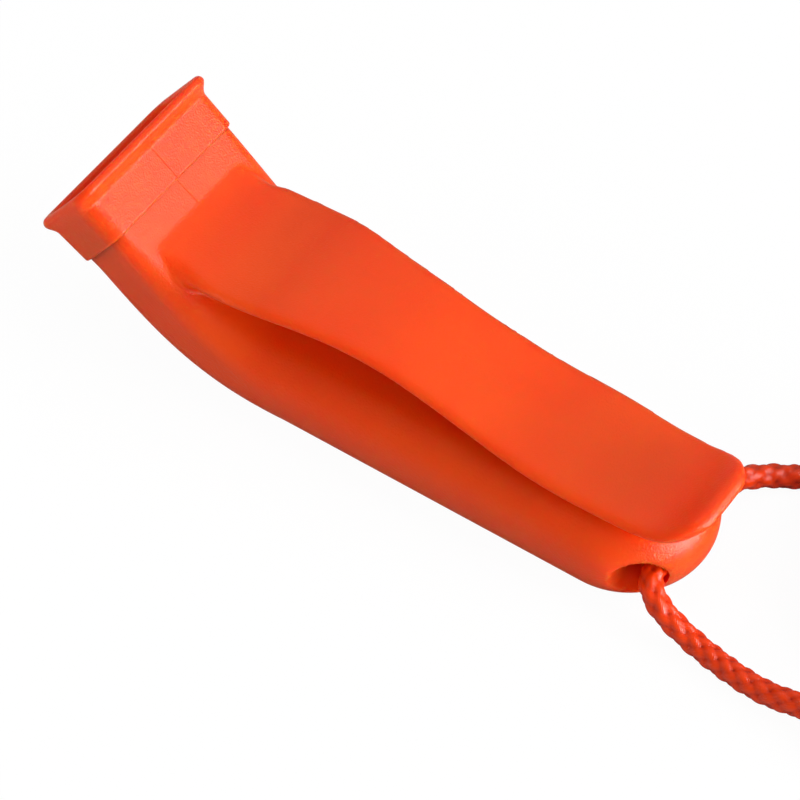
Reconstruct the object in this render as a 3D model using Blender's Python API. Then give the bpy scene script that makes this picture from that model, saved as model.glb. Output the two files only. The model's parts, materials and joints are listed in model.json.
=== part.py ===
"""Training whistle: a moulded pealess whistle with a raised mouthpiece, a spring clip and a neck cord.

Lengths are in metres. X runs from the mouth to the tail, Y across, and Z up from the table.
The side view is drawn with X = 0 where the neck has levelled out into the body.
"""

import math

import bmesh
import bpy
from mathutils import Matrix, Vector

# Body
BODY_WIDTH = 0.0198
BODY_HEIGHT = 0.0102
BODY_CORNER = 0.0047
BODY_LENGTH = 0.0531
LEVEL_START = 0.0050
TOP_WALL = 0.0017
SIDE_WALL = 0.0030

# Neck and mouthpiece, measured along and across the mouthpiece's own axis
MOUTH_TILT = math.radians(35.7)
RIM_CENTRE_X = -0.0229
RIM_CENTRE_Z = 0.0205
RIM_WIDTH = 0.0226
RIM_HEIGHT = 0.0118
RIM_CORNER = 0.0024
RIM_THICKNESS = 0.0013
COVE_LENGTH = 0.0011
COLLAR_LENGTH = 0.0065
COLLAR_WALL = 0.0012
COLLAR_TAPER = 0.0001
STEP_HEIGHT = 0.00045
NECK_WIDTH = 0.0208
NECK_HEIGHT = 0.0075
NECK_CORNER = 0.0016
NECK_FOOT_CORNER = 0.0007
MOUTH_OPENING_WALL = 0.0014
THROAT_SHOULDER = 0.0005
SPIGOT_LENGTH = 0.0040
SPIGOT_WALL = 0.0009
EDGE_ROUND = 0.00032

# How far the neck's lines run before they bend into the body's
TOP_NECK_PULL = 0.0130
TOP_BODY_PULL = 0.0080
UNDER_NECK_PULL = 0.0105
UNDER_BODY_PULL = 0.0120
UNDER_START_TILT = math.radians(51)

# Sound parts
WINDOW_START = 0.0133
WINDOW_LENGTH = 0.0045
SEPTUM = 0.0014
CHAMBER_DIFFERENCE = 0.0070
COVER_THICKNESS = 0.0015
COVER_LEDGE = 0.0005
WINDWAY_HEIGHT = 0.0012
WINDWAY_DROP = math.radians(19.4)
BLOCK_RAIL = 0.0008
LABIUM_EDGE = 0.00025
LABIUM_LENGTH = 0.0042

# Lanyard eye
EYE_DIAMETER = 0.0050
EYE_FROM_TAIL = 0.0041
EYE_HEIGHT = 0.0049
EYE_WALL = 0.0033

# Spring clip
CLIP_THICKNESS = 0.0016
CLIP_ROLL = 0.00156
CLIP_ROLL_TURN = math.radians(52)
CLIP_TIP_ROUND = 0.0046
# The space under the clip at places along X, and the clip's half width
CLIP_GAPS = [(-0.0040, 0.00494), (-0.0010, 0.00518), (0.0055, 0.0057), (0.0145, 0.00505), (0.0225, 0.0034),
             (0.0310, 0.00165), (0.0385, 0.0009), (0.0460, 0.0005), (0.0505, 0.0011), (0.0542, 0.0034)]
CLIP_HALF_WIDTHS = [(-0.0040, 0.0088), (0.0030, 0.0085), (0.0110, 0.00746), (0.0190, 0.0070), (0.0270, 0.00716),
                    (0.0370, 0.0077), (0.0450, 0.0074), (0.0542, 0.0070)]
ROOT_FROM_STEP = 0.0010
ROOT_START_HALF_WIDTH = 0.0080
ROOT_NECK_PULL = 0.0036
ROOT_CLIP_PULL = 0.0045
ROOT_DEPTH = 0.0022
# The edge's roll and how far it turns over, by the share of the way from the neck to the clip
ROOT_ROLLS = [(0, 0.0003), (0.27, 0.0012), (0.55, 0.0022), (0.74, 0.0021), (1, CLIP_ROLL)]
ROOT_ROLL_TURNS = [(0, math.radians(88)), (0.6, math.radians(85)), (0.8, math.radians(68)), (1, CLIP_ROLL_TURN)]
GAP_END = -0.0078
GAP_END_ROUND = 0.0005
GAP_SINK = 0.00005

# Cord
CORD_DIAMETER = 0.0028
CORD_STEP = 0.0070
EYE_CORD_SHIFT = 0.0007
# Places along X and Y, and how high the cord is lifted off the table there
NEAR_ROUTE = [(0.0497, -0.0040, 0.0034), (0.0500, -0.0062, 0.0034), (0.0514, -0.0079, 0.0030),
              (0.0536, -0.0086, 0.0018), (0.0567, -0.0089, 0.0005), (0.0600, -0.0094, 0.0001),
              (0.0635, -0.0099, 0.0001), (0.0665, -0.0101, 0.0003), (0.0692, -0.0101, 0.0009)]
FAR_ROUTE = [(0.0496, 0.0040, 0.0034), (0.0496, 0.0075, 0.0029), (0.0502, 0.0110, 0.0017),
             (0.0522, 0.0143, 0.0003), (0.0552, 0.0165, 0.0001), (0.0582, 0.0206, 0.0001)]
COIL_CENTRE = (0.0803, 0.0160)
COIL_RADIUS = 0.0204
COIL_GAP = 0.00045
COIL_TURNS = 7
COIL_START_ANGLE = math.radians(142)
COIL_END_ANGLE = math.radians(-26)
TAIL_ROUTE = [(0.0943, -0.0018, 0.0032), (0.0922, -0.0059, 0.0027), (0.0899, -0.0086, 0.0022)]
KNOT_X = 0.0795
KNOT_Y = -0.0096
KNOT_LENGTH = 0.0078
KNOT_DIAMETER = 0.0064
KNOT_WRAPS = 3
KNOT_WAIST = 0.62
KNOT_END_TAPER = 0.22
TIE_ANGLE = math.radians(45)
TIE_WIDTH = 0.0060
TIE_THICKNESS = 0.0006
TIE_HUMP = math.radians(60)

# Clearances and mesh fineness
CLEARANCE = 0.0003
CORNER_STEPS = 8
BEND_STEPS = 12
FOOT_CORNER_LEAD = 0.6
TAIL_STEPS = 20
LEAST_FLAT = 0.0001
CLIP_STEPS = 34
ROLL_STEPS = 4
ROOT_STEPS = 16
GAP_STEPS = 8
GAP_END_STEPS = 6
LIP_STEPS = 3
FLARE_STEPS = 8
FLARE_LEAD = 1.25
LOOP_POINTS = 24
FAR = 0.03

HALF_WIDTH = BODY_WIDTH / 2
TAIL_X = BODY_LENGTH - HALF_WIDTH
MOUTH_AXIS = Vector((math.cos(MOUTH_TILT), 0, -math.sin(MOUTH_TILT)))
MOUTH_UP = Vector((math.sin(MOUTH_TILT), 0, math.cos(MOUTH_TILT)))
RIM_CENTRE = Vector((RIM_CENTRE_X, 0, RIM_CENTRE_Z))
CORD_RADIUS = CORD_DIAMETER / 2
COIL_PITCH = CORD_DIAMETER + COIL_GAP
CHAMBER_WIDTH = HALF_WIDTH - SIDE_WALL - SEPTUM / 2
EYE_X = BODY_LENGTH - EYE_FROM_TAIL
LONG_CHAMBER_END = EYE_X - EYE_DIAMETER / 2 - EYE_WALL
SHORT_CHAMBER_END = LONG_CHAMBER_END - CHAMBER_DIFFERENCE
CLIP_START = CLIP_GAPS[0][0]
CLIP_LINE = [(x, BODY_HEIGHT + gap + CLIP_THICKNESS / 2) for x, gap in CLIP_GAPS]


def clear_scene():
    for obj in list(bpy.data.objects):
        bpy.data.objects.remove(obj)


def plastic(name, colour, roughness):
    material = bpy.data.materials.new(name)
    material.use_nodes = True
    shader = material.node_tree.nodes["Principled BSDF"]
    shader.inputs["Base Color"].default_value = (*colour, 1)
    shader.inputs["Roughness"].default_value = roughness
    shader.inputs["Metallic"].default_value = 0
    return material


def add_object(name, data, material=None):
    """A part when it has a material, and a hidden cutter when it has none."""
    obj = bpy.data.objects.new(name, data)
    bpy.context.scene.collection.objects.link(obj)
    obj.parent = FRAME
    if material:
        data.materials.append(material)
    else:
        obj.hide_render = True
        obj.display_type = "WIRE"
    return obj


def mesh_from(bm, name):
    bmesh.ops.recalc_face_normals(bm, faces=bm.faces)
    mesh = bpy.data.meshes.new(name)
    bm.to_mesh(mesh)
    bm.free()
    mesh.shade_smooth()
    mesh.set_sharp_from_angle(angle=math.radians(35))
    return mesh


def boolean(obj, cutter, operation="DIFFERENCE"):
    modifier = obj.modifiers.new(cutter.name, "BOOLEAN")
    modifier.operation = operation
    modifier.object = cutter
    modifier.solver = "EXACT"


def bezier(ends, pulls, u):
    """A point on the cubic curve between two ends, each with a handle."""
    points = (ends[0], pulls[0], pulls[1], ends[1])
    weights = ((1 - u) ** 3, 3 * u * (1 - u) ** 2, 3 * u * u * (1 - u), u ** 3)
    return sum((w * p for w, p in zip(weights, points)), Vector((0, 0, 0)))


def smooth_curve(knots, count):
    """Points at even steps along a smooth curve through the knots."""
    knots = [Vector(k) for k in knots]
    padded = [2 * knots[0] - knots[1]] + knots + [2 * knots[-1] - knots[-2]]
    fine = []
    for a, b, c, d in zip(padded, padded[1:], padded[2:], padded[3:]):
        for k in range(16):
            t = k / 16
            fine.append(0.5 * (2 * b + (c - a) * t + (2 * a - 5 * b + 4 * c - d) * t ** 2
                               + (3 * b - a - 3 * c + d) * t ** 3))
    fine.append(knots[-1])
    reach = [0.0]
    for a, b in zip(fine, fine[1:]):
        reach.append(reach[-1] + (b - a).length)
    return [at_reach(fine, reach, reach[-1] * k / (count - 1)) for k in range(count)]


def at_reach(points, reach, wanted):
    for k in range(1, len(points)):
        if reach[k] >= wanted:
            share = (wanted - reach[k - 1]) / (reach[k] - reach[k - 1])
            return points[k - 1].lerp(points[k], share)
    return points[-1]


def read_curve(knots, x):
    """The height at x of a smooth curve through (x, height) knots."""
    curve = smooth_curve([(a, 0, b) for a, b in knots], 120)
    for a, b in zip(curve, curve[1:]):
        if b.x >= x:
            return a.z + (b.z - a.z) * (x - a.x) / (b.x - a.x)
    return curve[-1].z


def ring_between(foot, head, half_width, corner, foot_corner=None):
    """A rounded rectangle that stands across the side view between two of its points."""
    up = (head - foot).normalized()
    height = (head - foot).length
    most = min(half_width, height / 2) - LEAST_FLAT
    side = [(0, 0)]
    for start, wanted in ((-90, foot_corner or corner), (0, corner)):
        corner = min(wanted, most)
        for k in range(CORNER_STEPS + 1):
            angle = math.radians(start + 90 * k / CORNER_STEPS)
            level = height - corner if start == 0 else corner
            side.append((half_width - corner + corner * math.cos(angle), level + corner * math.sin(angle)))
    side.append((0, height))
    outline = side + [(-y, z) for y, z in reversed(side[1:-1])]
    return [foot + up * z + Vector((0, y, 0)) for y, z in outline]


def strip_ring(foot, head, half_width, roll, turn):
    """A section across the clip or its root: rolled over at the top's edges, with sides that lean in below them."""
    up = (head - foot).normalized()
    height = (head - foot).length
    lean = (height - roll * (1 - math.cos(turn))) / math.tan(turn)
    side = [(0, -height), (half_width - lean, -height)]
    for k in range(ROLL_STEPS + 1):
        angle = turn * (1 - k / ROLL_STEPS)
        side.append((half_width - roll * (math.sin(turn) - math.sin(angle)), roll * (math.cos(angle) - 1)))
    side.append((0, 0))
    outline = side + [(-y, z) for y, z in reversed(side[1:-1])]
    return [head + up * z + Vector((0, y, 0)) for y, z in outline]


def mouth_point(along, up, across=0.0):
    """A place given along the mouthpiece's axis from the rim, up from that axis, and across."""
    return RIM_CENTRE + MOUTH_AXIS * along + MOUTH_UP * up + Vector((0, across, 0))


def mouth_ring(along, half_width, half_height, corner, foot_corner=None):
    foot = mouth_point(along, -half_height)
    return ring_between(foot, mouth_point(along, half_height), half_width, corner, foot_corner)


def add_rings(bm, rings):
    """Joins each ring of points to the next with quads, and returns the rings' vertices."""
    made = [[bm.verts.new(p) for p in ring] for ring in rings]
    for near, far in zip(made, made[1:]):
        for k in range(len(near)):
            j = (k + 1) % len(near)
            bm.faces.new((near[k], near[j], far[j], far[k]))
    return made


def loft(name, rings):
    bm = bmesh.new()
    made = add_rings(bm, rings)
    bm.faces.new(made[0])
    bm.faces.new(made[-1])
    return mesh_from(bm, name)


def prism(name, outline, low, high):
    """A side-view outline of (x, z) points, extruded across from low to high."""
    bm = bmesh.new()
    face = bm.faces.new([bm.verts.new((p[0], low, p[-1])) for p in outline])
    grown = bmesh.ops.extrude_face_region(bm, geom=[face])["geom"]
    verts = [v for v in grown if isinstance(v, bmesh.types.BMVert)]
    bmesh.ops.translate(bm, verts=verts, vec=(0, high - low, 0))
    return mesh_from(bm, name)


NECK_HEAD = mouth_point(COLLAR_LENGTH, NECK_HEIGHT / 2)
NECK_FOOT = mouth_point(COLLAR_LENGTH, -NECK_HEIGHT / 2)
LEVEL_HEAD = Vector((LEVEL_START, 0, BODY_HEIGHT))
LEVEL_FOOT = Vector((LEVEL_START, 0, 0))
UNDER_AXIS = Vector((math.cos(UNDER_START_TILT), 0, -math.sin(UNDER_START_TILT)))
TOP_PULLS = (NECK_HEAD + MOUTH_AXIS * TOP_NECK_PULL, LEVEL_HEAD - Vector((TOP_BODY_PULL, 0, 0)))
UNDER_PULLS = (NECK_FOOT + UNDER_AXIS * UNDER_NECK_PULL, LEVEL_FOOT - Vector((UNDER_BODY_PULL, 0, 0)))


def top_line(u):
    return bezier((NECK_HEAD, LEVEL_HEAD), TOP_PULLS, u)


def underside(u):
    return bezier((NECK_FOOT, LEVEL_FOOT), UNDER_PULLS, u)


def inset(line, u, depth):
    """A point of a side-view line moved into the body."""
    tangent = (line(min(u + 0.01, 1)) - line(max(u - 0.01, 0))).normalized()
    inward = Vector((-tangent.z, 0, tangent.x)) * (1 if line is underside else -1)
    return line(u) + inward * depth


def underside_at(along):
    """Where along the underside the mouthpiece's axis has run this far."""
    low, high = 0.0, 1.0
    for _ in range(40):
        middle = (low + high) / 2
        before = (underside(middle) - RIM_CENTRE).dot(MOUTH_AXIS) < along
        low, high = (middle, high) if before else (low, middle)
    return low


def outer_body_mesh(name):
    """The body's outside: a lofted neck, a straight barrel and a tail spun round its own centre."""
    spigot_half_width = NECK_WIDTH / 2 + STEP_HEIGHT - COLLAR_WALL - CLEARANCE
    spigot_half_height = NECK_HEIGHT / 2 + STEP_HEIGHT - COLLAR_WALL - CLEARANCE
    rings = [mouth_ring(COLLAR_LENGTH - SPIGOT_LENGTH, spigot_half_width, spigot_half_height, NECK_CORNER),
             mouth_ring(COLLAR_LENGTH, spigot_half_width, spigot_half_height, NECK_CORNER)]
    for k in range(BEND_STEPS + 1):
        u = k / BEND_STEPS
        half_width = (NECK_WIDTH / 2) * (1 - u) + HALF_WIDTH * u
        corner = NECK_CORNER + (BODY_CORNER - NECK_CORNER) * u
        foot_corner = NECK_FOOT_CORNER + (BODY_CORNER - NECK_FOOT_CORNER) * u ** FOOT_CORNER_LEAD
        rings.append(ring_between(underside(u), top_line(u), half_width, corner, foot_corner))
    shift = Vector((TAIL_X - LEVEL_START, 0, 0))
    rings.append([p + shift for p in rings[-1]])
    bm = bmesh.new()
    made = add_rings(bm, rings)
    bm.faces.new(made[0])
    half = [v for v in made[-1] if v.co.y < 1e-6]
    edges = [e for e in bm.edges if e.verts[0] in half and e.verts[1] in half]
    bmesh.ops.spin(bm, geom=half + edges, cent=(TAIL_X, 0, 0), axis=(0, 0, 1), angle=math.pi, steps=TAIL_STEPS)
    bmesh.ops.remove_doubles(bm, verts=bm.verts, dist=1e-6)
    return mesh_from(bm, name)


def root_top(u):
    """The valley from the neck's top face up into the clip, seen from the side."""
    start = NECK_HEAD + MOUTH_AXIS * ROOT_FROM_STEP - MOUTH_UP * CLEARANCE
    clip_head = CLIP_LINE[0][1] + CLIP_THICKNESS / 2
    end = Vector((CLIP_START - CLEARANCE, 0, clip_head))
    return bezier((start, end), (start + MOUTH_AXIS * ROOT_NECK_PULL, end - Vector((ROOT_CLIP_PULL, 0, 0))), u)


def neck_top_at(x):
    """Height of the neck's and body's top line at x."""
    low, high = 0.0, 1.0
    for _ in range(40):
        middle = (low + high) / 2
        low, high = (middle, high) if top_line(middle).x < x else (low, middle)
    return top_line(low).z


def clip_root_mesh():
    """The stub that the clip grows from. Its sides roll over into the valley and sharpen towards the clip."""
    rings = []
    for k in range(ROOT_STEPS + 1):
        head = root_top(k / ROOT_STEPS)
        share = (head.x - root_top(0).x) / (root_top(1).x - root_top(0).x)
        half_width = ROOT_START_HALF_WIDTH + (CLIP_HALF_WIDTHS[0][1] - ROOT_START_HALF_WIDTH) * share
        foot = Vector((head.x, 0, neck_top_at(head.x) - ROOT_DEPTH))
        rings.append(strip_ring(foot, head, half_width, read_curve(ROOT_ROLLS, share),
                                read_curve(ROOT_ROLL_TURNS, share)))
    return loft("clip_root", rings)


def root_top_at(x):
    """Height of the valley's line at x."""
    low, high = 0.0, 1.0
    for _ in range(40):
        middle = (low + high) / 2
        low, high = (middle, high) if root_top(middle).x < x else (low, middle)
    return root_top(low).z


def gap_end_mesh():
    """What is cut from the stub so that the space under the clip narrows to a round end."""
    start = GAP_END + GAP_END_ROUND
    after = CLIP_START - CLEARANCE / 2
    places = [start + (after - start) * k / GAP_STEPS for k in range(GAP_STEPS + 1)]
    feet = [(x, neck_top_at(x) - GAP_SINK) for x in places]
    heads = [(x, max(root_top_at(x) - CLIP_THICKNESS, foot + 2 * GAP_END_ROUND)) for x, foot in feet]
    middle = (feet[0][1] + heads[0][1]) / 2
    tall = (heads[0][1] - feet[0][1]) / 2
    end = []
    for k in range(1, GAP_END_STEPS):
        angle = math.pi * k / GAP_END_STEPS
        end.append((start - GAP_END_ROUND * math.sin(angle), middle - tall * math.cos(angle)))
    return prism("cut_gap_end", feet[::-1] + end + heads, -BODY_WIDTH, BODY_WIDTH)


def bore_outline(reach, clearance):
    """Side view of the passage that the windway block fills."""
    ceiling = NECK_HEIGHT / 2 + STEP_HEIGHT - COLLAR_WALL - CLEARANCE - SPIGOT_WALL - clearance
    front = COLLAR_LENGTH - SPIGOT_LENGTH - CLEARANCE
    foot = clearance - (ceiling + clearance)
    drop = (reach - COLLAR_LENGTH) * math.tan(WINDWAY_DROP)
    return [mouth_point(front, foot), mouth_point(COLLAR_LENGTH, foot), mouth_point(reach, foot - drop),
            mouth_point(reach, ceiling), mouth_point(front, ceiling)]


def bore_half_width():
    return NECK_WIDTH / 2 + STEP_HEIGHT - COLLAR_WALL - CLEARANCE - SPIGOT_WALL


def chamber_outline(end_x):
    """Side view of a chamber, open below into the cover's pocket."""
    floor = COVER_THICKNESS / 2
    labium_u = underside_at(WINDOW_START + WINDOW_LENGTH)
    bore = bore_outline(WINDOW_START, 0)
    points = [bore[3]]
    points += [inset(top_line, u / 10, TOP_WALL) for u in range(3, 11)]
    points += [Vector((end_x, 0, BODY_HEIGHT - TOP_WALL)), Vector((end_x, 0, floor))]
    points += [inset(underside, labium_u + (1 - labium_u) * u / 8, floor) for u in range(8, -1, -1)]
    points.append(bore[2])
    return points


def cover_outline(front, depth, end_x):
    """Side view of the strip along the underside that the base cover takes up."""
    front_u = underside_at(front)
    points = [inset(underside, front_u + (1 - front_u) * u / 8, depth) for u in range(9)]
    points += [Vector((end_x, 0, depth)), Vector((end_x, 0, -FAR))]
    return points + [Vector((-FAR / 3, 0, -FAR)), mouth_point(front, -FAR / 2)]


def make_body():
    body = add_object("body", outer_body_mesh("body"), ORANGE)
    boolean(body, add_object("cut_clip_root", clip_root_mesh()), "UNION")
    boolean(body, add_object("cut_gap_end", gap_end_mesh()))
    pocket_side = SEPTUM / 2 + CHAMBER_WIDTH + COVER_LEDGE + CLEARANCE
    cover_front = WINDOW_START + WINDOW_LENGTH - CLEARANCE
    pocket = cover_outline(cover_front, COVER_THICKNESS + CLEARANCE, LONG_CHAMBER_END + COVER_LEDGE + CLEARANCE)
    boolean(body, add_object("cut_cover_pocket", prism("cut_cover_pocket", pocket, -pocket_side, pocket_side)))
    side = bore_half_width()
    bore = bore_outline(WINDOW_START + CLEARANCE, 0)
    bore[0] -= MOUTH_AXIS * SPIGOT_LENGTH
    bore[4] -= MOUTH_AXIS * SPIGOT_LENGTH
    boolean(body, add_object("cut_bore", prism("cut_bore", bore, -side, side)))
    sides = ((SEPTUM / 2, LONG_CHAMBER_END), (-SEPTUM / 2 - CHAMBER_WIDTH, SHORT_CHAMBER_END))
    for k, (low, end_x) in enumerate(sides):
        name = f"cut_chamber_{k}"
        boolean(body, add_object(name, prism(name, chamber_outline(end_x), low, low + CHAMBER_WIDTH)))
        window = [mouth_point(WINDOW_START, -FAR / 2), mouth_point(WINDOW_START + WINDOW_LENGTH, -FAR / 2),
                  mouth_point(WINDOW_START + WINDOW_LENGTH, 0), mouth_point(WINDOW_START, 0)]
        name = f"cut_window_{k}"
        boolean(body, add_object(name, prism(name, window, low, low + CHAMBER_WIDTH)))
    boolean(body, add_object("cut_eye", eye_mesh()))
    return body


def eye_mesh():
    bm = bmesh.new()
    turn = Matrix.Translation((EYE_X, 0, EYE_HEIGHT)) @ Matrix.Rotation(math.pi / 2, 4, "X")
    bmesh.ops.create_cone(bm, cap_ends=True, segments=32, radius1=EYE_DIAMETER / 2, radius2=EYE_DIAMETER / 2,
                          depth=2 * BODY_WIDTH, matrix=turn)
    return mesh_from(bm, "cut_eye")


def make_base_cover():
    """The welded plate that closes the two chambers. Its front edges are the lips that split the air."""
    cover = add_object("base_cover", outer_body_mesh("base_cover"), ORANGE)
    half = SEPTUM / 2 + CHAMBER_WIDTH + COVER_LEDGE
    front = WINDOW_START + WINDOW_LENGTH
    strip = cover_outline(front, COVER_THICKNESS, LONG_CHAMBER_END + COVER_LEDGE)
    boolean(cover, add_object("cut_cover_strip", prism("cut_cover_strip", strip, -half, half)), "INTERSECT")
    lip_u = underside_at(front)
    skin = (underside(lip_u) - RIM_CENTRE).dot(MOUTH_UP)
    edge = skin + COVER_THICKNESS - LABIUM_EDGE
    before = LABIUM_LENGTH / 8
    rise = (edge - skin) / 8
    ramp = [mouth_point(front - before, edge + rise), mouth_point(front + LABIUM_LENGTH, skin),
            mouth_point(front + LABIUM_LENGTH, -FAR / 2), mouth_point(front - before, -FAR / 2)]
    for k, low in enumerate((SEPTUM / 2, -SEPTUM / 2 - CHAMBER_WIDTH)):
        name = f"cut_lip_{k}"
        boolean(cover, add_object(name, prism(name, ramp, low, low + CHAMBER_WIDTH)))
    return cover


def make_windway_block():
    """The plug pressed into the neck. Two flat channels in its foot send the breath to the windows."""
    outline = bore_outline(WINDOW_START - CLEARANCE, CLEARANCE)
    half = bore_half_width() - CLEARANCE
    block = add_object("windway_block", prism("windway_block", outline, -half, half), ORANGE)
    down = MOUTH_UP * -FAR
    channel = [p + MOUTH_UP * WINDWAY_HEIGHT for p in outline[:3]]
    channel[0] -= MOUTH_AXIS * CLEARANCE
    channel[2] += MOUTH_AXIS * CLEARANCE
    channel += [channel[2] + down, channel[0] + down]
    for k, low in enumerate((SEPTUM / 2, -half + BLOCK_RAIL)):
        name = f"cut_windway_{k}"
        boolean(block, add_object(name, prism(name, channel, low, low + half - BLOCK_RAIL - SEPTUM / 2)))
    return block


def make_mouthpiece():
    """The collar with the bite rim. It slides over the neck's spigot and stands a fine step proud of the neck."""
    half_width = NECK_WIDTH / 2 + STEP_HEIGHT
    half_height = NECK_HEIGHT / 2 + STEP_HEIGHT
    corner = NECK_CORNER + STEP_HEIGHT
    foot_corner = NECK_FOOT_CORNER + STEP_HEIGHT
    rim_half_width = RIM_WIDTH / 2
    rim_half_height = RIM_HEIGHT / 2
    lip = RIM_THICKNESS / 2
    rings = []
    for k in range(LIP_STEPS + 1):
        angle = math.pi / 2 * (k / LIP_STEPS - 1)
        inside = lip * (1 - math.cos(angle))
        rings.append(mouth_ring(lip * (1 + math.sin(angle)), rim_half_width - inside, rim_half_height - inside,
                                RIM_CORNER - inside))
    base = RIM_THICKNESS + COVE_LENGTH
    base_width = half_width + COLLAR_TAPER
    base_height = half_height + COLLAR_TAPER
    for k in range(1, FLARE_STEPS + 1):
        share = (1 - math.cos(math.pi * (1 - k / FLARE_STEPS) ** FLARE_LEAD)) / 2
        rings.append(mouth_ring(lip + (base - lip) * k / FLARE_STEPS,
                                base_width + (rim_half_width - base_width) * share,
                                base_height + (rim_half_height - base_height) * share,
                                corner + (RIM_CORNER - corner) * share,
                                foot_corner + (RIM_CORNER - foot_corner) * share))
    rings.append(mouth_ring(COLLAR_LENGTH - EDGE_ROUND, half_width, half_height, corner, foot_corner))
    rings.append(mouth_ring(COLLAR_LENGTH, half_width - EDGE_ROUND / 2, half_height - EDGE_ROUND / 2, corner,
                            foot_corner))
    mouthpiece = add_object("mouthpiece", loft("mouthpiece", rings), ORANGE)
    shoulder = COLLAR_LENGTH - SPIGOT_LENGTH - CLEARANCE
    socket_width = half_width - COLLAR_WALL
    socket_height = half_height - COLLAR_WALL
    throat_width = rim_half_width - MOUTH_OPENING_WALL
    throat_height = rim_half_height - MOUTH_OPENING_WALL
    seat_width = socket_width - SPIGOT_WALL
    seat_height = socket_height - SPIGOT_WALL
    throat = [mouth_ring(-EDGE_ROUND, throat_width, throat_height, RIM_CORNER / 2),
              mouth_ring(shoulder - THROAT_SHOULDER, throat_width, throat_height, RIM_CORNER / 2),
              mouth_ring(shoulder, seat_width, seat_height, RIM_CORNER / 2),
              mouth_ring(shoulder + CLEARANCE, seat_width, seat_height, RIM_CORNER / 2)]
    boolean(mouthpiece, add_object("cut_throat", loft("cut_throat", throat)))
    socket = [mouth_ring(shoulder, socket_width, socket_height, NECK_CORNER + CLEARANCE),
              mouth_ring(COLLAR_LENGTH + FAR, socket_width, socket_height, NECK_CORNER + CLEARANCE)]
    boolean(mouthpiece, add_object("cut_socket", loft("cut_socket", socket)))
    return mouthpiece


def clip_hinge():
    """The clip turns up about the top of its root."""
    return Vector((CLIP_START, 0, CLIP_LINE[0][1] + CLIP_THICKNESS / 2))


def tip_drop(before_tip):
    """How far the clip's top has rolled over, this far before the end of its tip."""
    rolled = math.sin(CLIP_ROLL_TURN) - before_tip / CLIP_ROLL
    return CLIP_ROLL * (1 - math.cos(math.asin(rolled))) if rolled > 0 else 0.0


def make_clip():
    """The spring tongue: a waisted strip that humps up, comes down near the tail and lifts at its tip."""
    centres = smooth_curve([(x, 0, z) for x, z in CLIP_LINE], CLIP_STEPS)
    tip = centres[-1].x
    for k in range(1, 7):
        angle = math.radians(15 * k)
        x = tip - CLIP_TIP_ROUND * (1 - math.sin(angle))
        centres.append(Vector((x, 0, read_curve(CLIP_LINE, x))))
    centres = sorted((p for p in centres if p.x <= tip), key=lambda p: p.x)
    hinge = clip_hinge()
    rings = []
    for k, p in enumerate(centres):
        if k and p.x - centres[k - 1].x < CLEARANCE / 3:
            continue
        before = centres[max(k - 1, 0)]
        after = centres[min(k + 1, len(centres) - 1)]
        along = (after - before).normalized() if k else Vector((1, 0, 0))
        up = Vector((-along.z, 0, along.x)) * (CLIP_THICKNESS / 2)
        half_width = read_curve(CLIP_HALF_WIDTHS, p.x)
        into = p.x - (tip - CLIP_TIP_ROUND)
        if into > 0:
            half_width += math.sqrt(max(CLIP_TIP_ROUND ** 2 - into ** 2, 0)) - CLIP_TIP_ROUND
        head = p + up - up.normalized() * tip_drop(tip - p.x)
        ring = strip_ring(p - up, head, half_width, CLIP_ROLL, CLIP_ROLL_TURN)
        rings.append([q - hinge for q in ring])
    clip = add_object("clip", loft("clip", rings), ORANGE)
    clip.location = hinge
    return clip


def tube(name, points, resolution=2):
    curve = bpy.data.curves.new(name, "CURVE")
    curve.dimensions = "3D"
    curve.bevel_depth = CORD_RADIUS
    curve.bevel_resolution = resolution
    curve.use_fill_caps = True
    spline = curve.splines.new("POLY")
    spline.points.add(len(points) - 1)
    for point, place in zip(spline.points, points):
        point.co = (*place, 1)
    return add_object(name, curve, CORD)


def cord_points(knots):
    knots = [Vector(k) for k in knots]
    length = sum((b - a).length for a, b in zip(knots, knots[1:]))
    return smooth_curve(knots, max(4, round(length / CORD_STEP * 2)))


def coil_points():
    """Loops that spiral in along the table, climb a layer, and spiral out again on top."""
    turn = COIL_START_ANGLE - COIL_END_ANGLE + 2 * math.pi * COIL_TURNS
    count = round(turn / (2 * math.pi) * LOOP_POINTS)
    points = []
    for k in range(count + 1):
        gone = turn * k / count
        angle = COIL_START_ANGLE - gone
        inward = min(gone, turn - gone)
        radius = COIL_RADIUS - COIL_PITCH * inward / (2 * math.pi)
        climb = min(max((gone - turn / 2) / math.pi + 0.5, 0), 1)
        climb = climb * climb * (3 - 2 * climb)
        off_tie = math.remainder(angle - TIE_ANGLE, 2 * math.pi)
        hump = (TIE_THICKNESS + CLEARANCE) * math.exp(-(off_tie / TIE_HUMP) ** 6)
        height = CORD_RADIUS + CLEARANCE / 3 + COIL_PITCH * climb + hump
        place = Vector((*COIL_CENTRE, height))
        points.append(place + radius * Vector((math.cos(angle), math.sin(angle), 0)))
    return points


def least_self_gap(points):
    """Clear space between the coil's turns, measured between points at least a third of a turn apart."""
    apart = LOOP_POINTS // 3
    gap = min((a - b).length for k, a in enumerate(points) for b in points[k + apart:])
    return gap - CORD_DIAMETER


def lifted(route):
    return [Vector((x, y, CORD_RADIUS + lift)) for x, y, lift in route]


def straight_end(points, length):
    """A point that carries the curve's end on in a straight line."""
    return points[-1] + (points[-1] - points[-2]).normalized() * length


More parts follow.
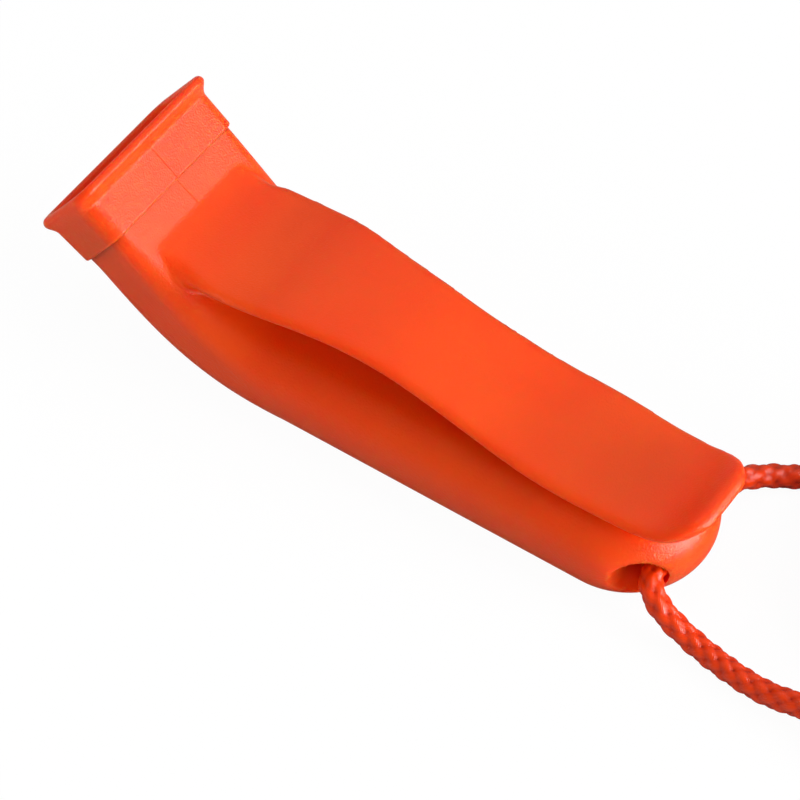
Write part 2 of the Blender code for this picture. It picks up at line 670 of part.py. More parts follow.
def make_cord():
    coil = coil_points()
    coil = [straight_end(coil[::-1], CORD_DIAMETER)] + coil + [straight_end(coil, CORD_DIAMETER)]
    print(f"least gap between the coil's turns: {least_self_gap(coil) * 1000:.2f} mm")
    tube("cord_coil", coil, 1)
    entry = (coil[0] - coil[1]).normalized()
    leave = (coil[-1] - coil[-2]).normalized()
    middle = Vector((EYE_X + EYE_CORD_SHIFT, 0, EYE_HEIGHT))
    half_gap = Vector((0, CLEARANCE / 2, 0))
    knot = Vector((KNOT_X, KNOT_Y, KNOT_DIAMETER / 2 + CLEARANCE))
    reach = Vector((KNOT_LENGTH / 2 + CLEARANCE, 0, 0))
    straight = Vector((CORD_DIAMETER, 0, 0))
    near = [middle - half_gap] + lifted(NEAR_ROUTE) + [knot - reach - straight, knot - reach]
    far = [middle + half_gap] + lifted(FAR_ROUTE)
    far += [coil[0] + entry * (CLEARANCE + CORD_DIAMETER), coil[0] + entry * CLEARANCE]
    tail = [coil[-1] + leave * CLEARANCE, coil[-1] + leave * (CLEARANCE + CORD_DIAMETER)]
    tail += lifted(TAIL_ROUTE) + [knot + reach + straight, knot + reach]
    for name, knots in (("cord_near_run", near), ("cord_far_run", far), ("cord_tail_run", tail)):
        tube(name, cord_points(knots))
    make_knot(knot)
    make_tie(coil)


def make_knot(centre):
    """The knot that joins the cord's two ends, as the outside of its wraps."""
    bm = bmesh.new()
    steps = 6 * KNOT_WRAPS
    profile = []
    for k in range(steps + 1):
        along = k / steps
        wrap = abs(math.sin(math.pi * KNOT_WRAPS * along))
        radius = KNOT_DIAMETER / 2 * (KNOT_WAIST + (1 - KNOT_WAIST) * math.sqrt(wrap))
        radius *= 1 - KNOT_END_TAPER * (2 * along - 1) ** 2
        profile.append(centre + Vector(((along - 0.5) * KNOT_LENGTH, 0, radius)))
    verts = [bm.verts.new(p) for p in profile]
    edges = [bm.edges.new(pair) for pair in zip(verts, verts[1:])]
    bmesh.ops.spin(bm, geom=verts + edges, cent=centre, axis=(1, 0, 0), angle=2 * math.pi, steps=16)
    bmesh.ops.remove_doubles(bm, verts=bm.verts, dist=1e-6)
    bmesh.ops.holes_fill(bm, edges=[e for e in bm.edges if e.is_boundary])
    add_object("cord_knot", mesh_from(bm, "cord_knot"), CORD)


def make_tie(coil):
    """A band round all the coil's loops, where they lie side by side."""
    outward = Vector((math.cos(TIE_ANGLE), math.sin(TIE_ANGLE), 0))
    along = Vector((-outward.y, outward.x, 0))
    held = [p - Vector((*COIL_CENTRE, 0)) for p in coil]
    held = [p for p in held if abs(p.dot(along)) < TIE_WIDTH and p.dot(outward) > 0]
    across = CORD_RADIUS + CLEARANCE
    inner = min(p.dot(outward) for p in held) - across
    outer = max(p.to_2d().length for p in held) + across
    low = min(p.z for p in held) - across
    high = max(p.z for p in held) + across
    middle = Vector((*COIL_CENTRE, (low + high) / 2)) + outward * (inner + outer) / 2
    rings = []
    for grow, side in ((0, -1), (0, 1), (TIE_THICKNESS, 1), (TIE_THICKNESS, -1)):
        half_height = Vector((0, 0, (high - low) / 2 + grow))
        ring = ring_between(-half_height, half_height, (outer - inner) / 2 + grow, CORD_RADIUS + grow)
        edge = middle + along * side * TIE_WIDTH / 2
        rings.append([edge + outward * p.y + Vector((0, 0, p.z)) for p in ring])
    bm = bmesh.new()
    add_rings(bm, rings + rings[:1])
    bmesh.ops.remove_doubles(bm, verts=bm.verts, dist=1e-6)
    add_object("coil_tie", mesh_from(bm, "coil_tie"), TIE)


clear_scene()
FRAME = bpy.data.objects.new("whistle", None)
bpy.context.scene.collection.objects.link(FRAME)
ORANGE = plastic("orange_plastic", (0.83, 0.085, 0.018), 0.42)
CORD = plastic("braided_cord", (0.80, 0.05, 0.008), 0.55)
TIE = plastic("black_tie", (0.02, 0.02, 0.022), 0.8)
make_body()
make_base_cover()
make_windway_block()
mouthpiece = make_mouthpiece()
clip = make_clip()
make_cord()

# The origin is under the middle of the whistle, between the rim and the clip's tip
front = min(v.co.x for v in mouthpiece.data.vertices)
tip = clip.location.x + max(v.co.x for v in clip.data.vertices)
FRAME.location.x = -(front + tip) / 2
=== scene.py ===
"""Looks of the training whistle: its moulded shell, spring clip, mouth collar and braided neck cord.

Lengths are in metres. The side view is drawn as in the part's source, from where the neck levels out,
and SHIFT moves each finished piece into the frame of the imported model.
"""

import json
import math

import bmesh
import bpy
import numpy as np
from mathutils import Matrix, Vector

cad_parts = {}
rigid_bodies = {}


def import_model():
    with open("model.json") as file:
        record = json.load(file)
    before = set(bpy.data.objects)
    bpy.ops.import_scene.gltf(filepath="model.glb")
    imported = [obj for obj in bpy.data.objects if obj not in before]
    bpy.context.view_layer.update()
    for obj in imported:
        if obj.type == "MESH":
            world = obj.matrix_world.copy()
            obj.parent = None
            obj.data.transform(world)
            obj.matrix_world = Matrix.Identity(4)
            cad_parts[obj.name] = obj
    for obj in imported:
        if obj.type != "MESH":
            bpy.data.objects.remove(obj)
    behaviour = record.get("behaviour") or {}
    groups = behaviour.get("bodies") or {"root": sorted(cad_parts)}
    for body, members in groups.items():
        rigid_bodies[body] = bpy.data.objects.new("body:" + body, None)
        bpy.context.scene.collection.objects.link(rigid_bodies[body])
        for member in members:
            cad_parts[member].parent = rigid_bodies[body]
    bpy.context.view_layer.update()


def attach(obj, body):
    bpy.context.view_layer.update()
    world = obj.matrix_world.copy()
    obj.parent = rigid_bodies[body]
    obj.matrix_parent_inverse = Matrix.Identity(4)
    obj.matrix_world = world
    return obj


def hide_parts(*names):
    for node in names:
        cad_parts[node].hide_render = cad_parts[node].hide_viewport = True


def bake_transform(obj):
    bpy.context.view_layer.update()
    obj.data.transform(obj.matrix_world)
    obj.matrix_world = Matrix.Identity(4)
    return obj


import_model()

SHIFT = Vector((-0.014277, 0, 0))
CLEARANCE = 0.0003
# Further out than any cut has to reach
FAR = 0.03
# Closer than this, two places count as one
TOUCHING = 1e-6
# Angles that step through a right angle, for rounded edges
QUARTER_TURN = [math.radians(15 * k) for k in range(7)]

# Barrel
BODY_WIDTH = 0.0198
BODY_HEIGHT = 0.0102
BODY_CORNER = 0.0047
BODY_LENGTH = 0.0531
LEVEL_START = 0.0050
TOP_WALL = 0.0017
SIDE_WALL = 0.0030
NECK_RINGS = 28
TAIL_STEPS = 48
# How far the shell reaches into the collar, and how much its trim leaves over
SHELL_LEAD = 0.002
TRIM_OVERLAP = 0.00004

# Neck and mouth collar, along and across the mouth's own axis
MOUTH_TILT = math.radians(35.7)
RIM_CENTRE = Vector((-0.0229, 0, 0.0205))
RIM_WIDTH = 0.0226
RIM_HEIGHT = 0.0118
RIM_CORNER = 0.0024
RIM_THICKNESS = 0.0013
COVE_LENGTH = 0.0011
COVE_STEPS = 16
COVE_EASE = 1.25
LIP_DOME = 0.0004
COLLAR_LENGTH = 0.0065
COLLAR_WALL = 0.0012
COLLAR_TAPER = 0.0001
STEP_HEIGHT = 0.00045
NECK_WIDTH = 0.0208
NECK_HEIGHT = 0.0075
NECK_CORNER = 0.0016
NECK_FOOT_CORNER = 0.0007
FOOT_CORNER_LEAD = 0.6
MOUTH_OPENING_WALL = 0.0014
THROAT_END = 0.0005
THROAT_TAPER = 0.0001
SPIGOT_LENGTH = 0.0040
SPIGOT_WALL = 0.0009
SPIGOT_OVERLAP = 0.0002
EDGE_ROUND = 0.00032
# The line that the mould left: its middle, the height that it stays above, and its size
MOULD_LINE_X = -0.0158
MOULD_LINE_Y = 0.0003
MOULD_LINE_Z = 0.0165
MOULD_LINE_LENGTH = 0.0066
MOULD_LINE_WIDTH = 0.00030
MOULD_LINE_DEPTH = 0.6

# How far the neck's lines run before they bend into the barrel's
TOP_NECK_PULL = 0.0130
TOP_BODY_PULL = 0.0080
UNDER_NECK_PULL = 0.0105
UNDER_BODY_PULL = 0.0120
UNDER_START_TILT = math.radians(51)

# Sound parts
WINDOW_START = 0.0133
WINDOW_LENGTH = 0.0045
DIVIDER = 0.0014
CHAMBER_DIFFERENCE = 0.0070
COVER_THICKNESS = 0.0015
COVER_LEDGE = 0.0005
WELD_GAP = 0.00012
DRAFT = 0.00006
WINDWAY_HEIGHT = 0.0012
WINDWAY_DROP = math.radians(19.4)
BLOCK_RAIL = 0.0008
BLOCK_EDGE_ROUND = 0.00012
PLATE_STEPS = 16
AIR_LIP_EDGE = 0.00025
AIR_LIP_LENGTH = 0.0042

# Lanyard eye
EYE_DIAMETER = 0.0050
EYE_HEIGHT = 0.0049
EYE_X = BODY_LENGTH - 0.0041
EYE_WALL = 0.0033
EYE_SIDES = 64

# Spring clip: the space under it and its half width at places along X
CLIP_THICKNESS = 0.0016
CLIP_ROLL = 0.00156
CLIP_ROLL_TURN = math.radians(52)
CLIP_TIP_ROUND = 0.0046
TIP_STEPS = 12
CLIP_GAPS = [(-0.0040, 0.00494), (-0.0010, 0.00518), (0.0055, 0.0057), (0.0145, 0.00505), (0.0225, 0.0034),
             (0.0310, 0.00165), (0.0385, 0.0009), (0.0460, 0.0005), (0.0505, 0.0011), (0.0542, 0.0034)]
CLIP_HALF_WIDTHS = [(-0.0160, 0.0079), (-0.0095, 0.0084), (-0.0040, 0.0088), (0.0030, 0.0085),
                    (0.0110, 0.00746), (0.0190, 0.0070), (0.0270, 0.00716), (0.0370, 0.0077),
                    (0.0450, 0.0074), (0.0542, 0.0070)]
# The root's edge: its roll, and how far that turns over, at places along X
ROOT_ROLLS = [(-0.0150, 0.0003), (-0.0120, 0.0012), (-0.0090, 0.0020), (-0.0070, 0.0018), (-0.0043, CLIP_ROLL)]
ROOT_ROLL_TURNS = [(-0.0150, math.radians(88)), (-0.0098, math.radians(82)), (-0.0080, math.radians(66)),
                   (-0.0066, CLIP_ROLL_TURN), (-0.0043, CLIP_ROLL_TURN)]
ROOT_FROM_STEP = 0.0010
ROOT_NECK_PULL = 0.0036
ROOT_CLIP_PULL = 0.0045
ROOT_DEPTH = 0.0022
ROOT_END = -0.0040
ROOT_RINGS = 32
TONGUE_START = -0.0046
TONGUE_LINE_START = -0.012
TONGUE_STEP = 0.0007
SLOPE_STEP = 0.0003
GAP_END = -0.0054
GAP_END_ROUND = 0.0005
GAP_STEPS = 12
# How far the gap's cut reaches past the root, off the neck and into the tongue
GAP_OVERLAP = 0.0004
GAP_LIFT = 0.00003
GAP_BITE = 0.00002
# Where the tongue is parted from its root, the band of faces that the cut passes through, and the stub of
# tongue that the shell keeps
SEAM_X = -0.0030
SEAM_BAND = 0.001
SEAM_STUB = 0.0030

# Cord
CORD_DIAMETER = 0.0028
EYE_CORD_SHIFT = 0.0007
# Length of a mesh step along each cord, and the mesh's sides around it
NEAR_STEP, NEAR_SIDES = 0.00018, 36
LOOP_STEP, LOOP_SIDES = 0.00032, 26
KNOT_STEP, KNOT_SIDES = 0.0002, 28
# Places along X and Y, and how high the cord is lifted off the table there
NEAR_ROUTE = [(0.0497, -0.0040, 0.0034), (0.0500, -0.0062, 0.0034), (0.0514, -0.0079, 0.0030),
              (0.0536, -0.0086, 0.0018), (0.0567, -0.0089, 0.0005), (0.0600, -0.0094, 0.0001),
              (0.0635, -0.0099, 0.0001), (0.0665, -0.0101, 0.0003), (0.0692, -0.0101, 0.0009)]
FAR_ROUTE = [(0.0496, 0.0040, 0.0034), (0.0496, 0.0075, 0.0029), (0.0502, 0.0110, 0.0017),
             (0.0522, 0.0143, 0.0003), (0.0552, 0.0165, 0.0001), (0.0582, 0.0206, 0.0001)]
COIL_CENTRE = (0.0803, 0.0160)
COIL_RADIUS = 0.0204
COIL_GAP = 0.00045
COIL_TURNS = 7
COIL_START_ANGLE = math.radians(142)
COIL_END_ANGLE = math.radians(-26)
TAIL_ROUTE = [(0.0943, -0.0018, 0.0032), (0.0922, -0.0059, 0.0027), (0.0899, -0.0086, 0.0022)]
KNOT_X = 0.0795
KNOT_Y = -0.0096
KNOT_LENGTH = 0.0078
KNOT_DIAMETER = 0.0064
KNOT_WRAPS = 3
KNOT_SPREAD = 0.35
KNOT_SHORT = 0.3
KNOT_POINTS = 200
KNOT_END_SHARE = 0.75
KNOT_MEETING = 0.0008
# Where the knot's cord tucks in and out, as shares of the knot's length and of its wraps' reach
KNOT_TUCK_IN = [(-0.28, 0, 0), (-0.42, 0.55, -0.2)]
KNOT_TUCK_OUT = [(0.42, 0.55, 0.4), (0.28, 0, 0)]
TIE_ANGLE = math.radians(45)
TIE_WIDTH = 0.0060
TIE_THICKNESS = 0.0006
TIE_HUMP = math.radians(60)
TIE_EDGE_ROUND = 0.0002
LOOP_POINTS = 24

# Braid: four strands each way, each passing over one and under one
STRANDS = 4
CROSSING = 0.0024
STRAND_RISE = 0.00015
STRAND_THICKNESS = 0.00054
STRAND_HALF_WIDTH = 0.00086
STRAND_SPACING = 0.00163
# Slow drifts of the crossings, since no braid is quite even: size, rate and start
BRAID_DRIFTS = [(0.09, 0.71, 0), (0.06, 1.37, 2)]

# Finishes
TINT_PATCH = 0.014
RUB_PATCH = 0.006
GRAIN_WIDTH = 0.00022
GRAIN_DEPTH = 0.00007
GLOW_START = 0.0004
GLOW_FULL = 0.0055
GLOW_REACH = 0.0030
FILAMENTS = 9
FILAMENT_DEPTH = 0.00003
RIB_SPACING = 0.0005
RIB_DEPTH = 0.0001

# Meshes
VOXEL = 0.00025
SMOOTHING = 6
CURVE_STEPS = 24
LINE_STEP = 0.0002
LEAST_FLAT = 0.00005
SLOPE_SHARE = 0.01

HALF_WIDTH = BODY_WIDTH / 2
TAIL_X = BODY_LENGTH - HALF_WIDTH
CORD_RADIUS = CORD_DIAMETER / 2
KNOT_HEIGHT = KNOT_DIAMETER / 2 + CLEARANCE
COIL_PITCH = CORD_DIAMETER + COIL_GAP
CHAMBER_WIDTH = HALF_WIDTH - SIDE_WALL - DIVIDER / 2
LONG_CHAMBER_END = EYE_X - EYE_DIAMETER / 2 - EYE_WALL
SHORT_CHAMBER_END = LONG_CHAMBER_END - CHAMBER_DIFFERENCE
MOUTH_AXIS = Vector((math.cos(MOUTH_TILT), 0, -math.sin(MOUTH_TILT)))
MOUTH_UP = Vector((math.sin(MOUTH_TILT), 0, math.cos(MOUTH_TILT)))
SOCKET_HALF_WIDTH = NECK_WIDTH / 2 + STEP_HEIGHT - COLLAR_WALL
SOCKET_HALF_HEIGHT = NECK_HEIGHT / 2 + STEP_HEIGHT - COLLAR_WALL
BORE_HALF_WIDTH = SOCKET_HALF_WIDTH - CLEARANCE - SPIGOT_WALL
PLATE_HALF_WIDTH = DIVIDER / 2 + CHAMBER_WIDTH + COVER_LEDGE
CHAMBER_LOWS = (DIVIDER / 2, -DIVIDER / 2 - CHAMBER_WIDTH)


def linear(code, alpha=1.0):
    """An sRGB hex value as a linear colour."""
    shares = [int(code[k:k + 2], 16) / 255 for k in (1, 3, 5)]
    return (*(s / 12.92 if s <= 0.04045 else ((s + 0.055) / 1.055) ** 2.4 for s in shares), alpha)


def add_node(tree, kind, settings=None, **links):
    """A node with its settings by property or socket, and links from other nodes' sockets."""
    node = tree.nodes.new(kind)
    for key, value in (settings or {}).items():
        if isinstance(key, str) and hasattr(node, key):
            setattr(node, key, value)
        else:
            node.inputs[key].default_value = value
    for key, source in links.items():
        socket = node.inputs[int(key[1:])] if key[1:].isdigit() else node.inputs[key.replace("_", " ")]
        tree.links.new(source, socket)
    return node


def new_material(name):
    material = bpy.data.materials.new(name)
    material.use_nodes = True
    return material, material.node_tree, material.node_tree.nodes["Principled BSDF"]


def orange_polypropylene():
    """Injection-moulded polypropylene off a spark-eroded mould: an even satin orange, with a fine grain that
    breaks up the highlights, and slightly shinier patches where hands have rubbed it."""
    material, tree, shader = new_material("orange_polypropylene")
    place = add_node(tree, "ShaderNodeTexCoord").outputs["Object"]
    drift = add_node(tree, "ShaderNodeTexNoise", {"Scale": 1 / TINT_PATCH, "Detail": 2.0}, Vector=place)
    tint = add_node(tree, "ShaderNodeValToRGB", Fac=drift.outputs["Fac"])
    for element, position, code in zip(tint.color_ramp.elements, (0.35, 0.65), ("#F44909", "#F84F0B")):
        element.position = position
        element.color = linear(code)
    tree.links.new(tint.outputs["Color"], shader.inputs["Base Color"])
    rub = add_node(tree, "ShaderNodeTexNoise", {"Scale": 1 / RUB_PATCH, "Detail": 4.0}, Vector=place)
    gloss = add_node(tree, "ShaderNodeMapRange", {"To Min": 0.28, "To Max": 0.38}, Value=rub.outputs["Fac"])
    tree.links.new(gloss.outputs["Result"], shader.inputs["Roughness"])
    # Spark grain is about 0.05 mm wide and is drawn at 0.22 mm, or it wouldn't show
    grain = add_node(tree, "ShaderNodeTexNoise", {"Scale": 1 / GRAIN_WIDTH, "Detail": 2.0}, Vector=place)
    # A hairline that the mould left on top of the collar and the neck
    parts = add_node(tree, "ShaderNodeSeparateXYZ", Vector=place).outputs
    beside = add_node(tree, "ShaderNodeMath", {"operation": "SUBTRACT", 1: MOULD_LINE_Y}, _0=parts["Y"])
    beside = add_node(tree, "ShaderNodeMath", {"operation": "ABSOLUTE"}, _0=beside.outputs[0])
    groove = {"From Max": MOULD_LINE_WIDTH / 2, "To Min": -MOULD_LINE_DEPTH, "To Max": 0.0}
    mark = add_node(tree, "ShaderNodeMapRange", groove, Value=beside.outputs[0])
    within = {"operation": "COMPARE", 1: MOULD_LINE_X + SHIFT.x, 2: MOULD_LINE_LENGTH / 2}
    above = {"operation": "GREATER_THAN", 1: MOULD_LINE_Z}
    for axis, limit in (("X", within), ("Z", above)):
        kept = add_node(tree, "ShaderNodeMath", limit, _0=parts[axis]).outputs[0]
        mark = add_node(tree, "ShaderNodeMath", {"operation": "MULTIPLY"}, _0=mark.outputs[0], _1=kept)
    rough = add_node(tree, "ShaderNodeMath", {"operation": "ADD"}, _0=grain.outputs["Fac"], _1=mark.outputs[0])
    bump = add_node(tree, "ShaderNodeBump", {"Strength": 1.0, "Distance": GRAIN_DEPTH}, Height=rough.outputs[0])
    tree.links.new(bump.outputs["Normal"], shader.inputs["Normal"])
    shader.inputs["IOR"].default_value = 1.46
    # Light soaks in and red goes furthest, so thin walls and shaded hollows glow red. This fades out towards
    # the parting of the tongue, which would show as a dark line
    from_seam = add_node(tree, "ShaderNodeMath", {"operation": "SUBTRACT", 1: SEAM_X + SHIFT.x}, _0=parts["X"])
    apart = add_node(tree, "ShaderNodeMath", {"operation": "ABSOLUTE"}, _0=from_seam.outputs[0])
    fade = {"interpolation_type": "SMOOTHSTEP", "From Min": GLOW_START, "From Max": GLOW_FULL}
    glow = add_node(tree, "ShaderNodeMapRange", fade, Value=apart.outputs[0])
    tree.links.new(glow.outputs["Result"], shader.inputs["Subsurface Weight"])
    shader.inputs["Subsurface Radius"].default_value = (1.0, 0.08, 0.03)
    shader.inputs["Subsurface Scale"].default_value = GLOW_REACH
    return material


def braided_polyester():
    """Bright braided polyester: glossy filaments along each strand, and painted shade that turns it deeper red
    where strands dive under.
    """
    material, tree, shader = new_material("braided_polyester")
    depth = add_node(tree, "ShaderNodeAttribute", {"attribute_name": "depth"}).outputs["Fac"]
    across = add_node(tree, "ShaderNodeAttribute", {"attribute_name": "across"}).outputs["Fac"]
    # Painted shade: the colour darkens to deep red the deeper the groove between strands
    tint = add_node(tree, "ShaderNodeValToRGB", Fac=depth)
    tint.color_ramp.elements[0].color = linear("#F24006")
    tint.color_ramp.elements[1].color = linear("#B41800")
    tree.links.new(tint.outputs["Color"], shader.inputs["Base Color"])
    # Bundles of filaments show as ridges across each strand
    turns = add_node(tree, "ShaderNodeMath", {"operation": "MULTIPLY", 1: FILAMENTS * math.pi}, _0=across)
    wave = add_node(tree, "ShaderNodeMath", {"operation": "SINE"}, _0=turns.outputs[0])
    ridges = {"Strength": 0.3, "Distance": FILAMENT_DEPTH}
    bump = add_node(tree, "ShaderNodeBump", ridges, Height=wave.outputs[0])
    tree.links.new(bump.outputs["Normal"], shader.inputs["Normal"])
    shader.inputs["Roughness"].default_value = 0.22
    shader.inputs["IOR"].default_value = 1.57
    return material


def woven_nylon():
    """Black hook-and-loop band: a dull weave, with ribs 0.5 mm apart."""
    material, tree, shader = new_material("woven_nylon")
    place = add_node(tree, "ShaderNodeTexCoord").outputs["Object"]
    weave = {"Scale": 1 / RIB_SPACING / 6.28, "Distortion": 1.0}
    ribs = add_node(tree, "ShaderNodeTexWave", weave, Vector=place).outputs["Fac"]
    tint = add_node(tree, "ShaderNodeValToRGB", Fac=ribs)
    tint.color_ramp.elements[0].color = linear("#131314")
    tint.color_ramp.elements[1].color = linear("#2B2B2D")
    tree.links.new(tint.outputs["Color"], shader.inputs["Base Color"])
    bump = add_node(tree, "ShaderNodeBump", {"Strength": 0.5, "Distance": RIB_DEPTH}, Height=ribs)
    tree.links.new(bump.outputs["Normal"], shader.inputs["Normal"])
    shader.inputs["Roughness"].default_value = 0.85
    return material


def smooth_line(knots, step):
    """Points at even steps along a smooth curve through the knots, as an array."""
    knots = np.array([tuple(k) for k in knots], float)
    padded = np.vstack([2 * knots[0] - knots[1], knots, 2 * knots[-1] - knots[-2]])
    t = np.linspace(0, 1, CURVE_STEPS, endpoint=False)[:, None]
    fine = [0.5 * (2 * b + (c - a) * t + (2 * a - 5 * b + 4 * c - d) * t ** 2
                   + (3 * b - a - 3 * c + d) * t ** 3)
            for a, b, c, d in zip(padded, padded[1:], padded[2:], padded[3:])]
    fine = np.vstack(fine + [knots[-1:]])
    reach = np.concatenate([[0], np.cumsum(np.linalg.norm(np.diff(fine, axis=0), axis=1))])
    count = max(2, round(reach[-1] / step) + 1)
    wanted = np.linspace(0, reach[-1], count)
    return np.stack([np.interp(wanted, reach, fine[:, k]) for k in range(fine.shape[1])], axis=1)


def read_line(line, x):
    """The value at x of a smooth curve through (x, value) knots."""
    points = smooth_line(line, LINE_STEP)
    return float(np.interp(x, points[:, 0], points[:, 1]))


def bezier(a, b, c, d, u):
    """A point on the curve from a to d that b and c pull."""
    return a * (1 - u) ** 3 + 3 * u * (1 - u) ** 2 * b + 3 * u * u * (1 - u) * c + d * u ** 3


def ring_between(foot, head, half_width, corner, foot_corner=None, steps=10):
    """A rounded rectangle across the side view, from the middle of its foot round to the left."""
    up = (head - foot).normalized()
    height = (head - foot).length
    most = min(half_width, height / 2) - LEAST_FLAT
    side = [(0, 0)]
    for start, wanted in ((-90, foot_corner or corner), (0, corner)):
        corner = min(wanted, most)
        level = height - corner if start == 0 else corner
        for k in range(steps + 1):
            angle = math.radians(start + 90 * k / steps)
            side.append((half_width - corner + corner * math.cos(angle), level + corner * math.sin(angle)))
    side.append((0, height))
    outline = side + [(-y, z) for y, z in reversed(side[1:-1])]
    return [foot + up * z + Vector((0, y, 0)) for y, z in outline]


def strip_ring(foot, head, half_width, roll, turn, steps=8):
    """A section across the clip or its root: rolled over at the top's edges, with sides that lean in below."""
    up = (head - foot).normalized()
    height = (head - foot).length
    lean = (height - roll * (1 - math.cos(turn))) / math.tan(turn)
    side = [(0, -height), (half_width - lean, -height)]
    for k in range(steps + 1):
        angle = turn * (1 - k / steps)
        side.append((half_width - roll * (math.sin(turn) - math.sin(angle)), roll * (math.cos(angle) - 1)))
    side.append((0, 0))
    outline = side + [(-y, z) for y, z in reversed(side[1:-1])]
    return [head + up * z + Vector((0, y, 0)) for y, z in outline]


def mouth_point(along, up):
    """A place given along the mouth's axis from the rim, and up from that axis."""
    return RIM_CENTRE + MOUTH_AXIS * along + MOUTH_UP * up


def mouth_ring(along, half_width, half_height, corner, foot_corner=None, steps=10):
    foot = mouth_point(along, -half_height)
    return ring_between(foot, mouth_point(along, half_height), half_width, corner, foot_corner, steps)


def skin(bm, rings, closed=False):
    """Bridges each ring of points to the next, and caps the two ends or joins them."""
    edges = []
    for ring in rings:
        verts = [bm.verts.new(p) for p in ring]
        edges.append([bm.edges.new(pair) for pair in zip(verts, verts[1:] + verts[:1])])
    for near, far in zip(edges, edges[1:]):
        bmesh.ops.bridge_loops(bm, edges=near + far)
    if closed:
        bmesh.ops.bridge_loops(bm, edges=edges[-1] + edges[0])
    else:
        for end in (edges[0], edges[-1]):
            bmesh.ops.contextual_create(bm, geom=end)
    return edges


def mesh_from(bm, name):
    """A smooth mesh, its faces turned outward."""
    bmesh.ops.recalc_face_normals(bm, faces=bm.faces)
    mesh = bpy.data.meshes.new(name)
    bm.to_mesh(mesh)
    bm.free()
    mesh.shade_smooth()
    return mesh


def loft(name, rings, closed=False):
    bm = bmesh.new()
    skin(bm, rings, closed)
    return mesh_from(bm, name)


def prism(name, outline, low, high):
    """A side-view outline extruded across from low to high."""
    bm = bmesh.new()
    face = bm.faces.new([bm.verts.new((p[0], low, p[-1])) for p in outline])
    grown = bmesh.ops.extrude_face_region(bm, geom=[face])["geom"]
    verts = [v for v in grown if isinstance(v, bmesh.types.BMVert)]
    bmesh.ops.translate(bm, verts=verts, vec=(0, high - low, 0))
    return mesh_from(bm, name)


def carved(base, steps, voxel=0.0, smoothing=0):
    """A new mesh, with others added to the base or cut from it, and rounded if asked."""
    top = bpy.context.scene.collection
    work = bpy.data.objects.new("work", base)
    top.objects.link(work)
    groups = []
    for operation, meshes in steps:
        group = bpy.data.collections.new(operation)
        top.children.link(group)
        groups.append(group)
        for mesh in meshes:
            group.objects.link(bpy.data.objects.new("tool", mesh))
        modifier = work.modifiers.new(operation, "BOOLEAN")
        modifier.operation = operation
        modifier.operand_type = "COLLECTION"
        modifier.collection = group
        modifier.solver = "EXACT"
    if voxel:
        modifier = work.modifiers.new("even", "REMESH")
        modifier.mode = "VOXEL"
        modifier.voxel_size = voxel
        modifier = work.modifiers.new("round", "SMOOTH")
        modifier.factor = 0.5
        modifier.iterations = smoothing
    bpy.context.view_layer.update()
    graph = bpy.context.evaluated_depsgraph_get()
    mesh = bpy.data.meshes.new_from_object(work.evaluated_get(graph), depsgraph=graph)
    for group in groups:
        for obj in list(group.objects):
            bpy.data.objects.remove(obj)
        bpy.data.collections.remove(group)
    bpy.data.objects.remove(work)
    mesh.shade_smooth()
    return mesh


def rounded(mesh, width):
    """Rounds a mesh's hard edges."""
    bm = bmesh.new()
    bm.from_mesh(mesh)
    bmesh.ops.remove_doubles(bm, verts=bm.verts, dist=TOUCHING)
    bmesh.ops.dissolve_limit(bm, angle_limit=math.radians(1), verts=bm.verts, edges=bm.edges)
    hard = [e for e in bm.edges if len(e.link_faces) == 2 and e.calc_face_angle() > math.radians(30)]
    bmesh.ops.bevel(bm, geom=hard, offset=width, offset_type="OFFSET", affect="EDGES", segments=3, profile=0.5,
                    material=-1, clamp_overlap=True)
    return mesh_from(bm, mesh.name)


def add_piece(name, mesh, material, replaced, body="whistle", crisp=None):
    """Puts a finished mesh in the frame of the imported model, with its finish and what it stands for."""
    mesh.transform(Matrix.Translation(SHIFT))
    mesh.materials.clear()
    mesh.materials.append(material)
    if crisp:
        mesh.set_sharp_from_angle(angle=math.radians(crisp))
    piece = bpy.data.objects.new(name, mesh)
    bpy.context.scene.collection.objects.link(piece)
    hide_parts(*replaced)
    if body:
        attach(piece, body)
    return piece


NECK_HEAD = mouth_point(COLLAR_LENGTH, NECK_HEIGHT / 2)
NECK_FOOT = mouth_point(COLLAR_LENGTH, -NECK_HEIGHT / 2)
LEVEL_HEAD = Vector((LEVEL_START, 0, BODY_HEIGHT))
LEVEL_FOOT = Vector((LEVEL_START, 0, 0))
UNDER_AXIS = Vector((math.cos(UNDER_START_TILT), 0, -math.sin(UNDER_START_TILT)))


def top_line(u):
    """Side view of the neck's top."""
    return bezier(NECK_HEAD, NECK_HEAD + MOUTH_AXIS * TOP_NECK_PULL,
                  LEVEL_HEAD - Vector((TOP_BODY_PULL, 0, 0)), LEVEL_HEAD, u)


def underside(u):
    """Side view of the neck's underside."""
    return bezier(NECK_FOOT, NECK_FOOT + UNDER_AXIS * UNDER_NECK_PULL,
                  LEVEL_FOOT - Vector((UNDER_BODY_PULL, 0, 0)), LEVEL_FOOT, u)


def inset(line, u, depth):
    """A point of a side-view line moved into the body."""
    tangent = (line(min(u + SLOPE_SHARE, 1)) - line(max(u - SLOPE_SHARE, 0))).normalized()
    inward = Vector((-tangent.z, 0, tangent.x)) * (1 if line is underside else -1)
    return line(u) + inward * depth


def share_where(line, measure, wanted):
    """How far along a side-view line its measure reaches the wanted value."""
    low, high = 0.0, 1.0
    for _ in range(40):
        middle = (low + high) / 2
        low, high = (middle, high) if measure(line(middle)) < wanted else (low, middle)
    return low


def underside_at(along):
    """How far along the underside it is this far from the rim."""
    return share_where(underside, lambda p: (p - RIM_CENTRE).dot(MOUTH_AXIS), along)


def neck_top_at(x):
    """Height of the top of the neck or the barrel at x."""
    return top_line(share_where(top_line, lambda p: p.x, x)).z if x < LEVEL_START else BODY_HEIGHT


